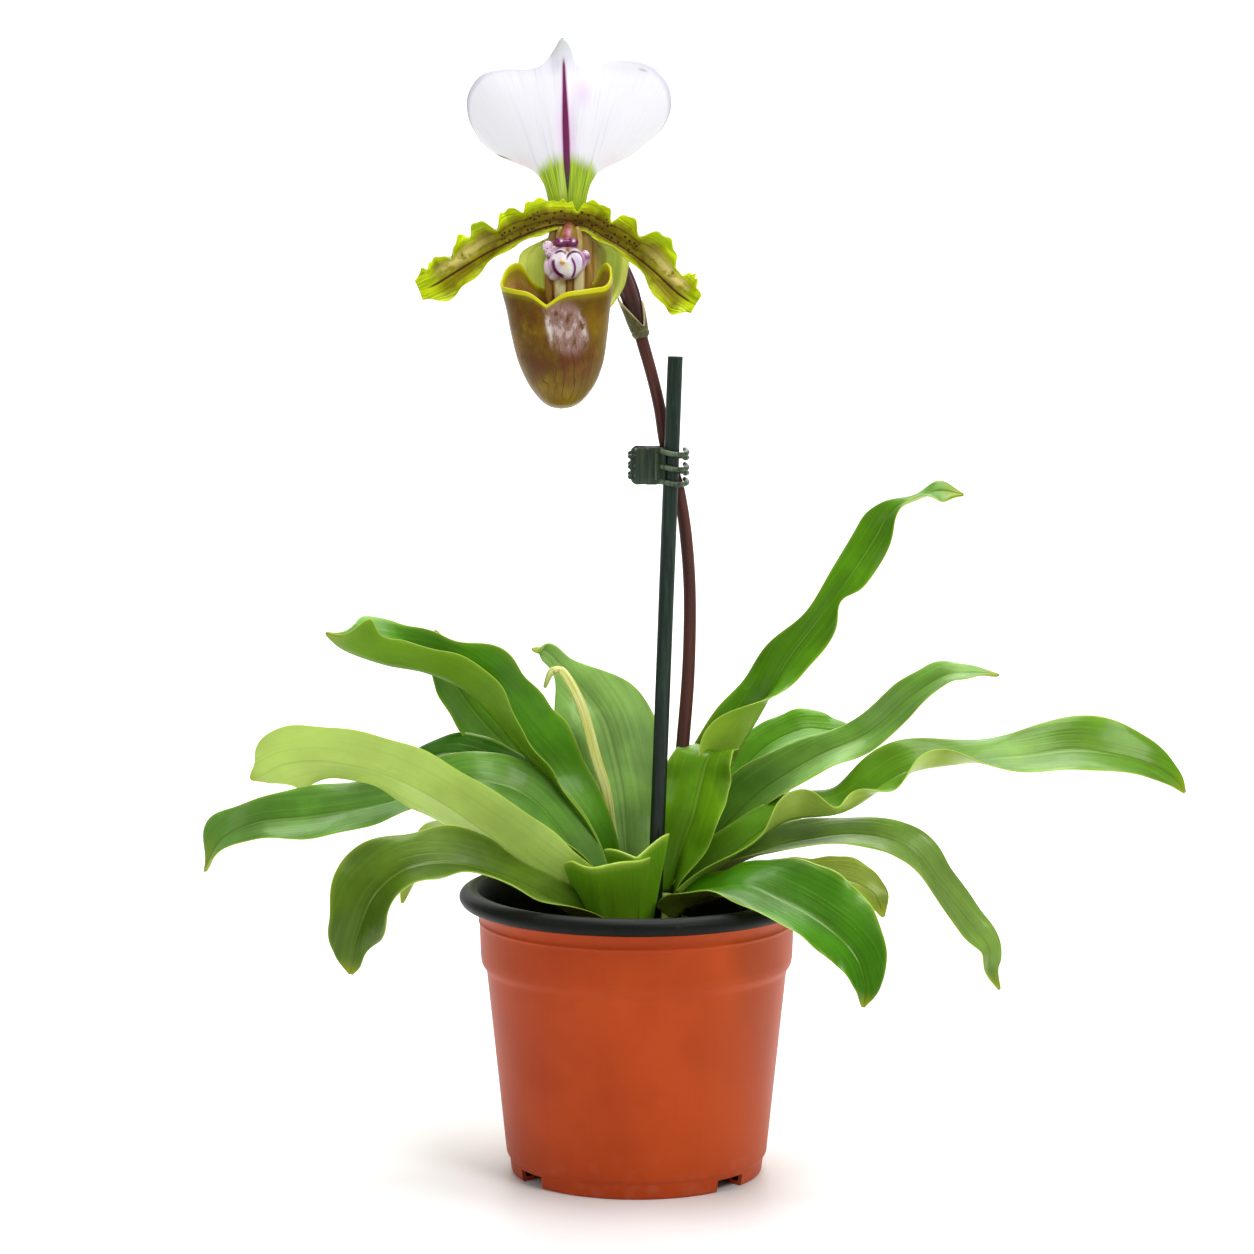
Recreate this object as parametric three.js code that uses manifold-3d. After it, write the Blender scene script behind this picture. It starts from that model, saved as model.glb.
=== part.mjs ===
// A slipper orchid (paphiopedilum) in a nursery pot, with its stake and claw clip.
// Millimetres, +Z up. The origin is on the ground at the middle of the pot, and -Y is the front.

import * as THREE from "three";
import { mergeVertices } from "three/addons/utils/BufferGeometryUtils.js";
import Module from "manifold-3d";

const wasm = await Module();
wasm.setup();

// ---------------------------------------------------------------- driving dimensions

const GAP = 0.3; // clearance between pieces that touch
const WELD = 1e-3; // points closer than this are one point
const GOLDEN_TURN = 2.39996; // radians between one root and the next

// The pot: a 12 cm nursery pot. Each profile point is [radius, height].
const POT_SIDES = 34;
const POT_OUTSIDE = [
  [0, 0],
  [27, 0],
  [28.5, 1.6],
  [36.8, 1.6],
  [38.2, 0],
  [42.6, 0],
  [43.3, 5.4],
  [44.3, 6.4],
  [50.9, 69.5],
  [52.5, 72],
  [52.9, 74.5],
  [53.4, 88.8],
  [54.8, 90.2],
  [58.2, 90.4],
  [60, 93.2],
  [59.4, 96.2],
  [57, 97.6],
  [54.2, 97.2],
];
const POT_INSIDE = [
  [51.9, 92.5],
  [51.4, 73.5],
  [49.4, 69.6],
  [42.6, 6.5],
  [41.5, 5],
  [41.5, 1.5],
  [39, 1.5],
  [37.6, 3.1],
  [27.8, 3.1],
  [26.4, 1.5],
  [0, 1.5],
];
const NOTCH_ANGLES = [-56, 47, 124, 227]; // degrees from the front, towards +X
const NOTCH_WIDTH = 12;
const NOTCH_HEIGHT = 4.2;
const NOTCH_DEPTH = 7;

// The bark mix that fills the pot
const MIX_FLOOR = 3.5;
const MIX_SIDES = 24;
const MIX_WALL = [
  [40.4, MIX_FLOOR],
  [42.3, 8],
  [48.8, 69],
  [50.6, 75],
];
const MIX_TOP = 77;
const MIX_RINGS = [46, 35, 23, 10];
const BARK_HEIGHT = 1.7; // how far the chips stand out of the surface

// The rhizome's growths: [x, y, radius], with a stub of stem from 62 mm to 96 mm
const GROWTHS = [
  [-8, -16, 4.6],
  [-4, 8, 4.8],
  [10, -4, 4.4],
  [9, 13, 4.4],
];
const GROWTH_FOOT = 62;
const GROWTH_TOP = 96;
const RHIZOME_RADIUS = 4;
const ROOT_COUNT = 7;
const ROOT_RADIUS = 1.7;

// The stake: a straight rod, from its foot in the mix to its flat top
const STAKE_FOOT = [3.2, -9.5, 14];
const STAKE_HEAD = [12.8, -4.4, 277.6];
const STAKE_RADIUS = 2.6;
const STAKE_SIDES = 12;

// The flower stem: [x, y, z, radius]
const SCAPE_SIDES = 8;
const SCAPE_ROWS = [
  [9.5, 5, 66, 2.3],
  [11.5, 8.5, 92, 2.4],
  [13.5, 10, 118, 2.4],
  [15.6, 9.2, 144, 2.3],
  [17.5, 6.8, 170, 2.2],
  [17.9, 3.8, 196, 2.1],
  [16.6, 1.6, 216, 2.1],
  [14.1, 0.3, 232.4, 2],
  [11.4, -0.1, 241, 1.9],
  [9.2, -0.2, 249, 1.9],
  [7.6, 0.8, 260, 2],
  [5, 1.5, 271, 2],
  [1.6, 2.6, 283, 2.1],
];

// The ovary: from the stem's end to the back of the flower
const OVARY_SIDES = 12;
const OVARY_ROWS = [
  [1.5, 2.7, 283.5, 1.9],
  [-0.4, 4, 291, 2.6],
  [-2.8, 5.4, 299, 3.1],
  [-7, 6.4, 308, 3],
  [-13.5, 5, 315.5, 2.6],
  [-19.5, 0, 319.6, 2.6],
  [-21.8, -7.6, 320.6, 2.9],
];
const OVARY_RIDGES = 6;

// The bract round the foot of the ovary: [x, y, z, radius] of the middle of the sheath
const BRACT_ROWS = [
  [1.9, 2.8, 282.6, 3],
  [0.6, 3.6, 287, 3.8],
  [-1, 4.4, 292, 4.4],
  [-2.6, 5.2, 297, 4.9],
];
const BRACT_WRAP = 155; // degrees either side of the front

const BLADE = 1; // thickness of a leaf
const PETAL = 0.8; // thickness of petals and sepals

// The claw clip round stake and stem. Its hinge stands upright at CLIP_HINGE.
const CLIP_HINGE = [4.9, -2.6];
const CLIP_FOOT = 234.6;
const CLIP_HEIGHT = 12.8;
const CLAW_CENTRE = 6.7; // from the hinge to the middle of the claws' ellipse
const CLAW_HALF_WIDTH = 4.6;
const CLAW_HALF_DEPTH = 5.4;
const CLAW_THICKNESS = 1.3;
const FRONT_CLAW_LEVELS = [0, 5.1, 10.2];
const FRONT_CLAW_HEIGHT = 2.6;
const REAR_CLAW_LEVELS = [2.9, 8];
const REAR_CLAW_HEIGHT = 1.9;
const FRONT_KNUCKLE_LEVELS = [0, 10.8];
const REAR_KNUCKLE_LEVELS = [2.3, 8.5];
const KNUCKLE_HEIGHT = 2;
const KNUCKLE_RADIUS = 1.9;
const PIN_RADIUS = 0.7;
const SPRING_RADIUS = 1.4;
const SPRING_WIRE = 0.32;
const SPRING_RISE = 3;

// The flower, which faces the front. Outlines are [x, z] and run from left to right over the top.
const DORSAL_BASE = [-23, -5.5, 324.6];
const DORSAL_OUTLINE = [
  [-51, 346],
  [-56.3, 356],
  [-54, 366],
  [-46, 371.3],
  [-37, 371],
  [-30.5, 374.5],
  [-24.5, 382.3],
  [-20, 375.5],
  [-11, 372.3],
  [0, 374.8],
  [9, 370.5],
  [11.4, 360],
  [2, 346.5],
];
const SYNSEPAL_ROWS = [
  [-22, -4.5, 317.2, 6],
  [-22, -3.4, 313, 15],
  [-21.6, -2.6, 306, 18],
  [-21.4, -3, 299, 16],
  [-21.6, -4.4, 291, 10],
  [-22, -6, 284, 1],
];
const PETAL_LEFT_ROWS = [
  [-22.3, -9.4, 321, 6, 3],
  [-27, -10.3, 320.9, 8, 3.4],
  [-34, -12, 318.9, 9.2, 3.6],
  [-42, -14, 315.4, 9.4, 3.4],
  [-51, -16, 310.8, 8.8, 4.2],
  [-59, -17.5, 306, 9, 6.2],
  [-66, -18.5, 301.8, 7, 6.6],
  [-71.4, -19, 299.6, 2.6, 2.6],
];
const PETAL_RIGHT_ROWS = [
  [-21.3, -9.4, 321, 6, 3],
  [-16.6, -10.2, 320.2, 8, 3.4],
  [-10.5, -11.4, 316.8, 9.2, 3.4],
  [-3, -13.5, 312.4, 9.6, 3.4],
  [5, -15.5, 306.4, 9.4, 4.6],
  [12, -17, 300, 8.4, 7],
  [16, -17.8, 297, 6, 6.4],
  [19.3, -18.5, 295, 2.6, 2.6],
];
const PETAL_RUFFLES = 6.5;

// The pouch: rows of [z, x of the middle, y of the middle, half width, half depth] downwards
const POUCH_ROWS = [
  [301, -26.8, -24.5, 19.1, 12.6],
  [294, -26.2, -25, 17.4, 13.2],
  [286, -25.8, -25.5, 16.3, 13],
  [277, -24.9, -26, 14.6, 12],
  [269.5, -24.4, -26, 11.8, 10.2],
  [264, -24.5, -26, 8, 7.2],
  [262, -24.8, -26, 4.2, 3.8],
  [261.4, -25, -26, 0, 0],
];
// The height of its rim, at even turns from the front round to the back
const POUCH_RIM = [295.4, 299.2, 300.2, 300.8, 301.4, 303.6, 307.4, 308, 302, 300.5, 311.5];
const POUCH_TURN = -0.17; // radians that the pouch is turned to its side
const POUCH_WALL = 0.9;

// Leaves, as [x, y, z, roll, half width] from base to tip. The azimuth is the way a leaf grows,
// and roll lifts its left edge. A leaf is trimmed where it meets one that stands before it here.
const LEAVES = [
  { name: "leaf_front_sheath", azimuth: -92, fold: 36, rows: [
    [-8, -21.6, 83, 0, 6],
    [-8, -26, 88, 0, 9],
    [-8.5, -30, 94, 0, 12],
    [-9.5, -33, 101, 0, 14],
    [-10.5, -35, 109, 0, 14.5],
  ] },
  { name: "leaf_left_broad", azimuth: 175, rows: [
    [-12, -18, 87, 30, 7],
    [-20, -21, 97.5, 55, 11.5],
    [-34, -22, 107.5, 60, 14],
    [-51, -24, 121.5, 60, 14.5],
    [-69, -26, 134, 56, 14.5],
    [-86, -27, 142, 52, 14],
    [-103, -28, 145.5, 58, 14],
    [-116, -28, 144.5, 66, 12.5],
    [-124, -27, 140.5, 62, 6.5],
    [-128, -26, 138.5, 60, 0.7],
  ] },
  { name: "leaf_front_right", azimuth: -34, rows: [
    [12, -9, 88, 0, 7],
    [20, -19, 97, 8, 12],
    [34, -33, 104, 16, 15.5],
    [50, -46, 100, 28, 17],
    [63, -53, 93, 34, 17],
    [71, -57, 85, 38, 12],
    [74, -59, 76, 40, 6],
    [73.5, -60, 69, 45, 0.6],
  ] },
  { name: "leaf_left_drooping", azimuth: 190, rows: [
    [-13, -21, 86, -5, 7],
    [-27, -31, 98, -15, 10],
    [-44, -36, 107.5, -22, 13.5],
    [-61, -39, 112.5, -30, 16],
    [-76, -43, 111, -45, 17],
    [-86, -46, 103, -62, 17],
    [-91, -47, 92, -72, 13],
    [-93, -47, 83.5, -72, 7],
    [-94, -46, 77, -70, 0.7],
  ] },
  { name: "leaf_centre_short", azimuth: 60, rows: [
    [12.5, -1, 96, 0, 6.5],
    [15, -1.5, 110, 0, 11],
    [19.5, -1, 123, 0, 13],
    [22, 1, 133, 0, 13],
    [24, 3, 140, 0, 12],
    [26.5, 6, 142.5, 0, 9.5],
    [29, 9.5, 140.5, 0, 6.5],
    [30.5, 12, 137, 0, 0.6],
  ] },
  { name: "leaf_right_long", azimuth: 3, rows: [
    [16, -5, 94, 10, 7],
    [32, -5, 109, 25, 11],
    [50, -4, 121, 20, 13],
    [70, -4, 124.5, 18, 13],
    [90, -5, 137, 28, 13],
    [108, -6, 141, 16, 12],
    [129, -6, 142.5, 26, 12],
    [149, -5, 144.5, 35, 12.5],
    [169, -4, 141, 42, 9.5],
    [180, -3, 135.5, 45, 5],
    [185, -2, 130, 50, 0.6],
  ] },
  { name: "leaf_right_olive", azimuth: -15, rows: [
    [16, -8, 92, 15, 7],
    [38, -15, 100, 25, 9],
    [55, -21, 103.5, 28, 10],
    [69, -25, 104, 32, 9],
    [78, -27, 100, 36, 6.5],
    [82, -28, 92.5, 40, 0.6],
  ] },
  { name: "leaf_right_drooping", azimuth: 5, rows: [
    [15, 10, 91, 0, 7],
    [35, 4, 105.5, 10, 11],
    [55, 0, 112.5, 15, 11],
    [75, -3, 115.5, 25, 9],
    [91, -5, 111.5, 35, 9],
    [101, -7, 100, 30, 8],
    [111, -9, 87.5, 25, 8],
    [118, -10, 79, 20, 5],
    [119, -10, 71, 0, 2.5],
    [122.5, -10, 64, 0, 0.6],
  ] },
  { name: "leaf_far_left", azimuth: 178, rows: [
    [-12, -11, 90, 0, 7],
    [-22, -9, 112, -20, 11],
    [-36, -8, 129, -30, 13],
    [-54, -6, 134.5, -30, 13],
    [-72, -4, 129.5, -22, 13],
    [-90, -3, 125, -32, 12.5],
    [-110, -2, 121.5, -48, 11.5],
    [-128, -2, 119.5, -48, 8],
    [-140, -2, 113.5, -35, 6],
    [-146, -3, 103, -20, 0.7],
  ] },
  { name: "leaf_right_mid", azimuth: 12, rows: [
    [15, 13.5, 92, 0, 7],
    [27, 13, 111, 20, 10],
    [42, 12, 127, 30, 12],
    [61, 12, 139.5, 30, 11],
    [79, 12, 148, 32, 9.5],
    [94, 11, 161, 34, 8],
    [105, 10, 168, 25, 5.5],
    [114, 9, 169.2, 20, 3.5],
    [123, 9, 168.5, 20, 0.6],
  ] },
  { name: "leaf_upper_right", azimuth: 15, rows: [
    [14, 16, 95, -20, 7],
    [21, 17, 117, -45, 11],
    [29, 18, 140, -60, 12.5],
    [38.5, 18, 157, -25, 12],
    [50, 18, 172, 42, 10],
    [61.5, 18, 186, 50, 8],
    [72.5, 18, 201, 55, 7.5],
    [81, 18, 214, 50, 7],
    [87, 18, 223.5, 20, 4.5],
    [95, 18, 228, 0, 2.5],
    [103, 18, 230, 35, 4],
    [111, 18, 229, 35, 0.6],
  ] },
  { name: "leaf_right_short", azimuth: 8, rows: [
    [14, 19, 92, 0, 6],
    [25, 27, 116, 15, 9],
    [41.5, 32, 137, 25, 11],
    [56, 33, 145.5, 30, 9],
    [68, 33, 145.5, 35, 6],
    [77, 32, 145, 35, 0.6],
  ] },
  { name: "leaf_upper_left", azimuth: 172, rows: [
    [-10, 5, 90, -10, 7],
    [-15, 6, 112, -35, 12],
    [-29, 8, 134.5, -50, 13.5],
    [-44.5, 8, 160, -38, 15],
    [-60, 6, 170.5, 42, 11],
    [-83, 4, 181, 55, 12.5],
    [-97, 2, 186.5, 50, 7],
    [-105, 2, 184, 40, 0.6],
  ] },
  { name: "leaf_left_inner", azimuth: 175, rows: [
    [-9, 9, 92, 0, 6],
    [-20, 10, 113, -25, 8],
    [-36, 11, 130.5, -35, 8.5],
    [-53, 11, 139, -35, 9],
    [-65, 12, 141, -30, 8],
    [-76, 12, 137, -25, 6],
    [-83, 11, 131, -20, 3],
    [-86, 10, 125, -20, 0.6],
  ] },
  { name: "leaf_left_behind", azimuth: 170, rows: [
    [-8, 15, 92, 0, 6],
    [-18, 23, 113, -20, 10],
    [-36, 27, 132, -35, 12],
    [-52, 26, 148.5, -40, 12.5],
    [-62.5, 24, 163, -40, 11],
    [-67, 22, 174, -30, 7],
    [-69, 20, 182.5, -20, 0.7],
  ] },
  { name: "leaf_back_centre", azimuth: 95, rows: [
    [-3, 18, 93, 0, 8],
    [-4, 22.5, 111, 0, 13],
    [-5.5, 24.5, 126, 0, 17],
    [-8.5, 26, 140, 0, 18.5],
    [-12, 28, 151, 0, 16.5],
    [-18.5, 29.5, 160.5, 0, 11],
    [-25, 29, 168.5, 0, 4.5],
    [-31, 28, 174.5, 0, 3.5],
    [-36, 27, 175, 0, 0.6],
  ] },
  { name: "leaf_back", azimuth: 80, rows: [
    [5, 19, 88, 0, 7],
    [7, 36, 111, 0, 13],
    [11, 58, 124, 0, 16],
    [15, 82, 125, 0, 15],
    [20, 104, 112, 0, 10],
    [22, 120, 90, 0, 0.6],
  ] },
  { name: "leaf_back_left", azimuth: 115, rows: [
    [-7, 14, 89, 0, 7],
    [-18, 36, 112, 0, 13],
    [-29, 55, 123, 0, 15],
    [-40, 76, 124, 0, 14],
    [-49, 94, 111, 0, 9],
    [-56, 106, 93, 0, 0.6],
  ] },
  { name: "leaf_back_right", azimuth: 60, rows: [
    [12.5, 18, 89, 0, 7],
    [23, 38, 107, 0, 12],
    [34, 60, 117, 0, 13],
    [44, 80, 116, 0, 11],
    [53, 98, 103, 0, 7],
    [57, 108, 90, 0, 0.6],
  ] },
  { name: "leaf_back_low_left", azimuth: 140, rows: [
    [-9, 11.5, 88, 0, 7],
    [-28, 28, 107, 0, 12],
    [-46, 45, 114, 0, 13],
    [-65, 62, 107, 0, 11],
    [-78, 74, 90, 0, 7],
    [-84, 80, 76, 0, 0.6],
  ] },
];

const SHOOT_ROWS = [
  [-4.6, 9.8, 96.5, 1.4],
  [-8, 14, 112, 1.6],
  [-10.4, 15.6, 127.5, 1.8],
  [-13.6, 16.4, 138, 1.9],
  [-15.9, 16.8, 146.8, 1.9],
  [-18.2, 17, 155, 1.8],
  [-21.4, 17.2, 162.5, 1.7],
  [-25.5, 17.4, 168.8, 1.5],
  [-29, 17.6, 168.5, 1.3],
  [-31.2, 17.8, 163.5, 0.7],
];

// ---------------------------------------------------------------- solids and meshes

// A geometry with bare, merged points and no collapsed triangle.
function welded(geometry) {
  const bare = new THREE.BufferGeometry();
  bare.setAttribute("position", geometry.getAttribute("position"));
  bare.setIndex(geometry.index);
  const merged = mergeVertices(bare, WELD);
  const corners = [];
  for (let i = 0; i < merged.index.count; i += 3) {
    const [a, b, c] = merged.index.array.slice(i, i + 3);
    if (a !== b && b !== c && a !== c) corners.push(a, b, c);
  }
  merged.setIndex(corners);
  return merged;
}

function solidOf(geometry) {
  const { attributes, index } = welded(geometry);
  const shape = {
    numProp: 3,
    vertProperties: new Float32Array(attributes.position.array),
    triVerts: new Uint32Array(index.array),
  };
  return new wasm.Manifold(new wasm.Mesh(shape));
}

function geometryOf(solid) {
  const { vertProperties, triVerts } = solid.getMesh();
  const geometry = new THREE.BufferGeometry();
  geometry.setAttribute("position", new THREE.BufferAttribute(new Float32Array(vertProperties), 3));
  geometry.setIndex(new THREE.BufferAttribute(new Uint32Array(triVerts), 1));
  geometry.computeVertexNormals();
  return geometry;
}

function joined(geometries) {
  return geometries.map(solidOf).reduce((whole, part) => whole.add(part));
}

// The largest body of a solid, without the scraps that a cut leaves.
function largestBody(solid) {
  const bodies = solid.decompose();
  return bodies.reduce((best, body) => (body.volume() > best.volume() ? body : best));
}

const group = new THREE.Group();

function addPiece(name, shape, { color, roughness, metalness = 0 }) {
  const geometry = shape.isBufferGeometry ? shape : geometryOf(shape);
  const mesh = new THREE.Mesh(geometry, new THREE.MeshStandardMaterial({ color, roughness, metalness }));
  mesh.name = name;
  group.add(mesh);
}

// ---------------------------------------------------------------- curves and surfaces

// A smooth run through rows of numbers, at a share of the way from the first row to the last.
function rowAt(rows, share) {
  const last = rows.length - 1;
  const place = THREE.MathUtils.clamp(share, 0, 1) * last;
  const first = Math.min(Math.floor(place), last - 1);
  const t = place - first;
  const beyond = (end, inner) => end.map((value, k) => 2 * value - inner[k]);
  const b = rows[first];
  const c = rows[first + 1];
  const a = first > 0 ? rows[first - 1] : beyond(b, c);
  const d = first + 2 <= last ? rows[first + 2] : beyond(c, b);
  return b.map((_, k) => {
    const slope = (c[k] - a[k]) / 2;
    const nextSlope = (d[k] - b[k]) / 2;
    const rise = c[k] - b[k];
    return b[k] + slope * t + (3 * rise - 2 * slope - nextSlope) * t * t
      + (slope + nextSlope - 2 * rise) * t * t * t;
  });
}

// The point of a run of rows, and the direction that it runs in.
function runAt(rows, share) {
  const step = 0.004;
  const [x, y, z] = rowAt(rows, share);
  const before = new THREE.Vector3(...rowAt(rows, share - step));
  const after = new THREE.Vector3(...rowAt(rows, share + step));
  return { point: new THREE.Vector3(x, y, z), direction: after.sub(before).normalize() };
}

class Triangles {
  constructor() {
    this.numbers = [];
  }
  add(...points) {
    for (const point of points) this.numbers.push(point.x, point.y, point.z);
  }
  quad(a, b, c, d) {
    this.add(a, b, c);
    this.add(a, c, d);
  }
  geometry() {
    const geometry = new THREE.BufferGeometry();
    geometry.setAttribute("position", new THREE.Float32BufferAttribute(this.numbers, 3));
    return geometry;
  }
}

// A closed solid through rings of points, each ring with as many points, capped at both ends.
function loft(rings) {
  const made = new Triangles();
  const sides = rings[0].length;
  const middle = (ring) => ring.reduce((sum, p) => sum.add(p), new THREE.Vector3()).divideScalar(sides);
  for (let i = 0; i + 1 < rings.length; i++)
    for (let j = 0; j < sides; j++) {
      const next = (j + 1) % sides;
      made.quad(rings[i][j], rings[i][next], rings[i + 1][next], rings[i + 1][j]);
    }
  const foot = rings[0];
  const head = rings[rings.length - 1];
  for (let j = 0; j < sides; j++) {
    const next = (j + 1) % sides;
    made.add(middle(foot), foot[next], foot[j]);
    made.add(middle(head), head[j], head[next]);
  }
  return made.geometry();
}

// A tapering stalk along rows of [x, y, z, radius]. swell(angle, share) scales the radius.
function stalk(rows, sides, steps, extra = 0, swell = () => 1) {
  const rings = [];
  for (let i = 0; i <= steps; i++) {
    const share = i / steps;
    const { point, direction } = runAt(rows, share);
    const radius = rowAt(rows, share)[3] + extra;
    const across = new THREE.Vector3(1, 0, 0).addScaledVector(direction, -direction.x).normalize();
    if (Math.abs(direction.x) > 0.9)
      across.set(0, 1, 0).addScaledVector(direction, -direction.y).normalize();
    const over = direction.clone().cross(across);
    const ring = [];
    for (let j = 0; j < sides; j++) {
      const angle = (2 * Math.PI * j) / sides;
      const reach = radius * swell(angle, share);
      ring.push(point.clone()
        .addScaledVector(across, reach * Math.cos(angle))
        .addScaledVector(over, reach * Math.sin(angle)));
    }
    rings.push(ring);
  }
  return loft(rings);
}

// A straight round rod between two points.
function rod(foot, head, radius, sides) {
  return stalk([[...foot, radius], [...head, radius]], sides, 1);
}

// A sheet of even thickness: place(along, across) gives its middle surface, along 0..1 and
// across -1..1. Both faces split their squares the same way, so that a thin wave stays whole.
function sheet(place, alongSteps, acrossSteps, thickness) {
  const front = [];
  const back = [];
  const small = 1e-3;
  for (let i = 0; i <= alongSteps; i++) {
    front.push([]);
    back.push([]);
    for (let j = 0; j <= acrossSteps; j++) {
      const along = i / alongSteps;
      const across = (2 * j) / acrossSteps - 1;
      const middle = place(along, across);
      const a = place(Math.min(along + small, 1), across).sub(place(Math.max(along - small, 0), across));
      const b = place(along, Math.min(across + small, 1)).sub(place(along, Math.max(across - small, -1)));
      const normal = a.cross(b).normalize();
      front[i].push(middle.clone().addScaledVector(normal, thickness / 2));
      back[i].push(middle.clone().addScaledVector(normal, -thickness / 2));
    }
  }
  const made = new Triangles();
  for (let i = 0; i < alongSteps; i++)
    for (let j = 0; j < acrossSteps; j++) {
      made.quad(front[i][j], front[i + 1][j], front[i + 1][j + 1], front[i][j + 1]);
      made.add(back[i][j], back[i + 1][j + 1], back[i + 1][j]);
      made.add(back[i][j], back[i][j + 1], back[i + 1][j + 1]);
    }
  for (let i = 0; i < alongSteps; i++) {
    const right = acrossSteps;
    made.quad(front[i][0], back[i][0], back[i + 1][0], front[i + 1][0]);
    made.quad(front[i][right], front[i + 1][right], back[i + 1][right], back[i][right]);
  }
  for (let j = 0; j < acrossSteps; j++) {
    const end = alongSteps;
    made.quad(front[0][j], front[0][j + 1], back[0][j + 1], back[0][j]);
    made.quad(front[end][j], back[end][j], back[end][j + 1], front[end][j + 1]);
  }
  return made.geometry();
}

const degrees = THREE.MathUtils.degToRad;

// The middle surface of a leaf. Its rows are [x, y, z, roll, half width] from base to tip. It is
// folded along its midrib, most at the base, and its edges wave.
function leafPlace({ azimuth, rows, fold = 14, wave = 0.1, waves = 3, phase = 0, grow = 0 }) {
  const foldAtBase = 58;
  const foldLength = 0.2;
  const turn = degrees(azimuth);
  return (along, across) => {
    const { point, direction } = runAt(rows, along);
    const [, , , roll, half] = rowAt(rows, along);
    const level = new THREE.Vector3(-Math.sin(turn), Math.cos(turn), 0);
    level.addScaledVector(direction, -level.dot(direction)).normalize();
    const up = direction.clone().cross(level);
    const tilt = degrees(roll);
    const side = level.clone().multiplyScalar(Math.cos(tilt)).addScaledVector(up, Math.sin(tilt));
    const face = up.clone().multiplyScalar(Math.cos(tilt)).addScaledVector(level, -Math.sin(tilt));
    const width = Math.max(half, 0.5) + grow;
    const opened = THREE.MathUtils.smoothstep(along, 0, foldLength);
    const bend = degrees(foldAtBase + (fold - foldAtBase) * opened);
    const reach = Math.abs(across);
    const swing = Math.sin(2 * Math.PI * (waves * along + phase) + (across > 0 ? 1.3 : 0));
    const lift = width * (Math.sin(bend) * reach + wave * opened * swing * reach * reach);
    return point.addScaledVector(side, width * across * Math.cos(bend)).addScaledVector(face, lift);
  };
}

// ---------------------------------------------------------------- pot, mix and roots

function turned(profile, sides) {
  const points = profile.map(([radius, height]) => new THREE.Vector2(radius, height));
  return new THREE.LatheGeometry(points, sides).rotateX(Math.PI / 2);
}

function potSolid() {
  let pot = solidOf(turned([...POT_OUTSIDE, ...POT_INSIDE], POT_SIDES));
  const footRadius = 43.2;
  for (const angle of NOTCH_ANGLES) {
    const notch = new THREE.BoxGeometry(NOTCH_WIDTH, 2 * NOTCH_DEPTH, 2 * NOTCH_HEIGHT);
    notch.translate(0, -footRadius, 0).rotateZ(degrees(angle));
    pot = pot.subtract(solidOf(notch));
  }
  return pot;
}

// A steady pseudo-random number from 0 to 1 for a whole number.
function scatter(index) {
  const value = Math.sin(index * 127.1 + 311.7) * 43758.5453;
  return value - Math.floor(value);
}

function mixRing(radius, height, rough) {
  const ring = [];
  for (let j = 0; j < MIX_SIDES; j++) {
    const angle = (2 * Math.PI * j) / MIX_SIDES;
    const bump = rough * BARK_HEIGHT * (scatter(j + radius * 10) - 0.5) * 2;
    ring.push(new THREE.Vector3(radius * Math.cos(angle), radius * Math.sin(angle), height + bump));
  }
  return ring;
}

function mixSolid() {
  const wall = MIX_WALL.map(([radius, height]) => mixRing(radius, height, 0));
  const top = MIX_RINGS.map((radius) => mixRing(radius, MIX_TOP, 1));
  return solidOf(loft([...wall, ...top]));
}

// The growths, the rhizome that joins them, and fleshy roots that run down into the mix.
function crownSolid(extra = 0) {
  const parts = [];
  const middle = [0, 1].map((k) => GROWTHS.reduce((sum, growth) => sum + growth[k] / GROWTHS.length, 0));
  for (const [x, y, radius] of GROWTHS) {
    const rows = [
      [x, y, GROWTH_FOOT, radius],
      [x, y, 74, radius * 1.25],
      [x, y, 84, radius],
      [x, y, GROWTH_TOP, radius * 0.45],
    ];
    parts.push(stalk(rows, 8, 3, extra));
    const end = [x, y, GROWTH_FOOT + 4];
    parts.push(stalk([[...middle, GROWTH_FOOT + 2, RHIZOME_RADIUS], [...end, RHIZOME_RADIUS]], 6, 1, extra));
  }
  for (let k = 0; k < ROOT_COUNT; k++) {
    const [x, y] = GROWTHS[k % GROWTHS.length];
    const angle = k * GOLDEN_TURN;
    const reach = 16 + 7 * scatter(k);
    const depth = 42 - 12 * scatter(k + 50);
    const out = (share) => [x + reach * share * Math.cos(angle), y + reach * share * Math.sin(angle)];
    const rows = [
      [...out(0), 66, ROOT_RADIUS],
      [...out(0.5), 54, ROOT_RADIUS],
      [...out(0.85), depth, ROOT_RADIUS * 0.9],
      [...out(1), depth - 18, ROOT_RADIUS * 0.6],
    ];
    parts.push(stalk(rows, 5, 3, extra));
  }
  return joined(parts);
}

// ---------------------------------------------------------------- stem, stake and clip

function scapeShape(extra = 0) {
  return stalk(SCAPE_ROWS, SCAPE_SIDES, 22, extra);
}

function stakeShape(extra = 0) {
  return rod(STAKE_FOOT, STAKE_HEAD, STAKE_RADIUS + extra, STAKE_SIDES);
}

function extruded(points, height, holes = []) {
  const shape = new THREE.Shape(points.map(([x, y]) => new THREE.Vector2(x, y)));
  shape.holes.push(...holes);
  return new THREE.ExtrudeGeometry(shape, { depth: height, bevelEnabled: false, curveSegments: 5 });
}

// One point of the clip's claws: an ellipse round stake and stem, seen from above.
function clawPoint(angle, outwards) {
  const turn = degrees(angle);
  return [
    CLAW_CENTRE + (CLAW_HALF_WIDTH + outwards) * Math.cos(turn),
    (CLAW_HALF_DEPTH + outwards) * Math.sin(turn),
  ];
}

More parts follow.
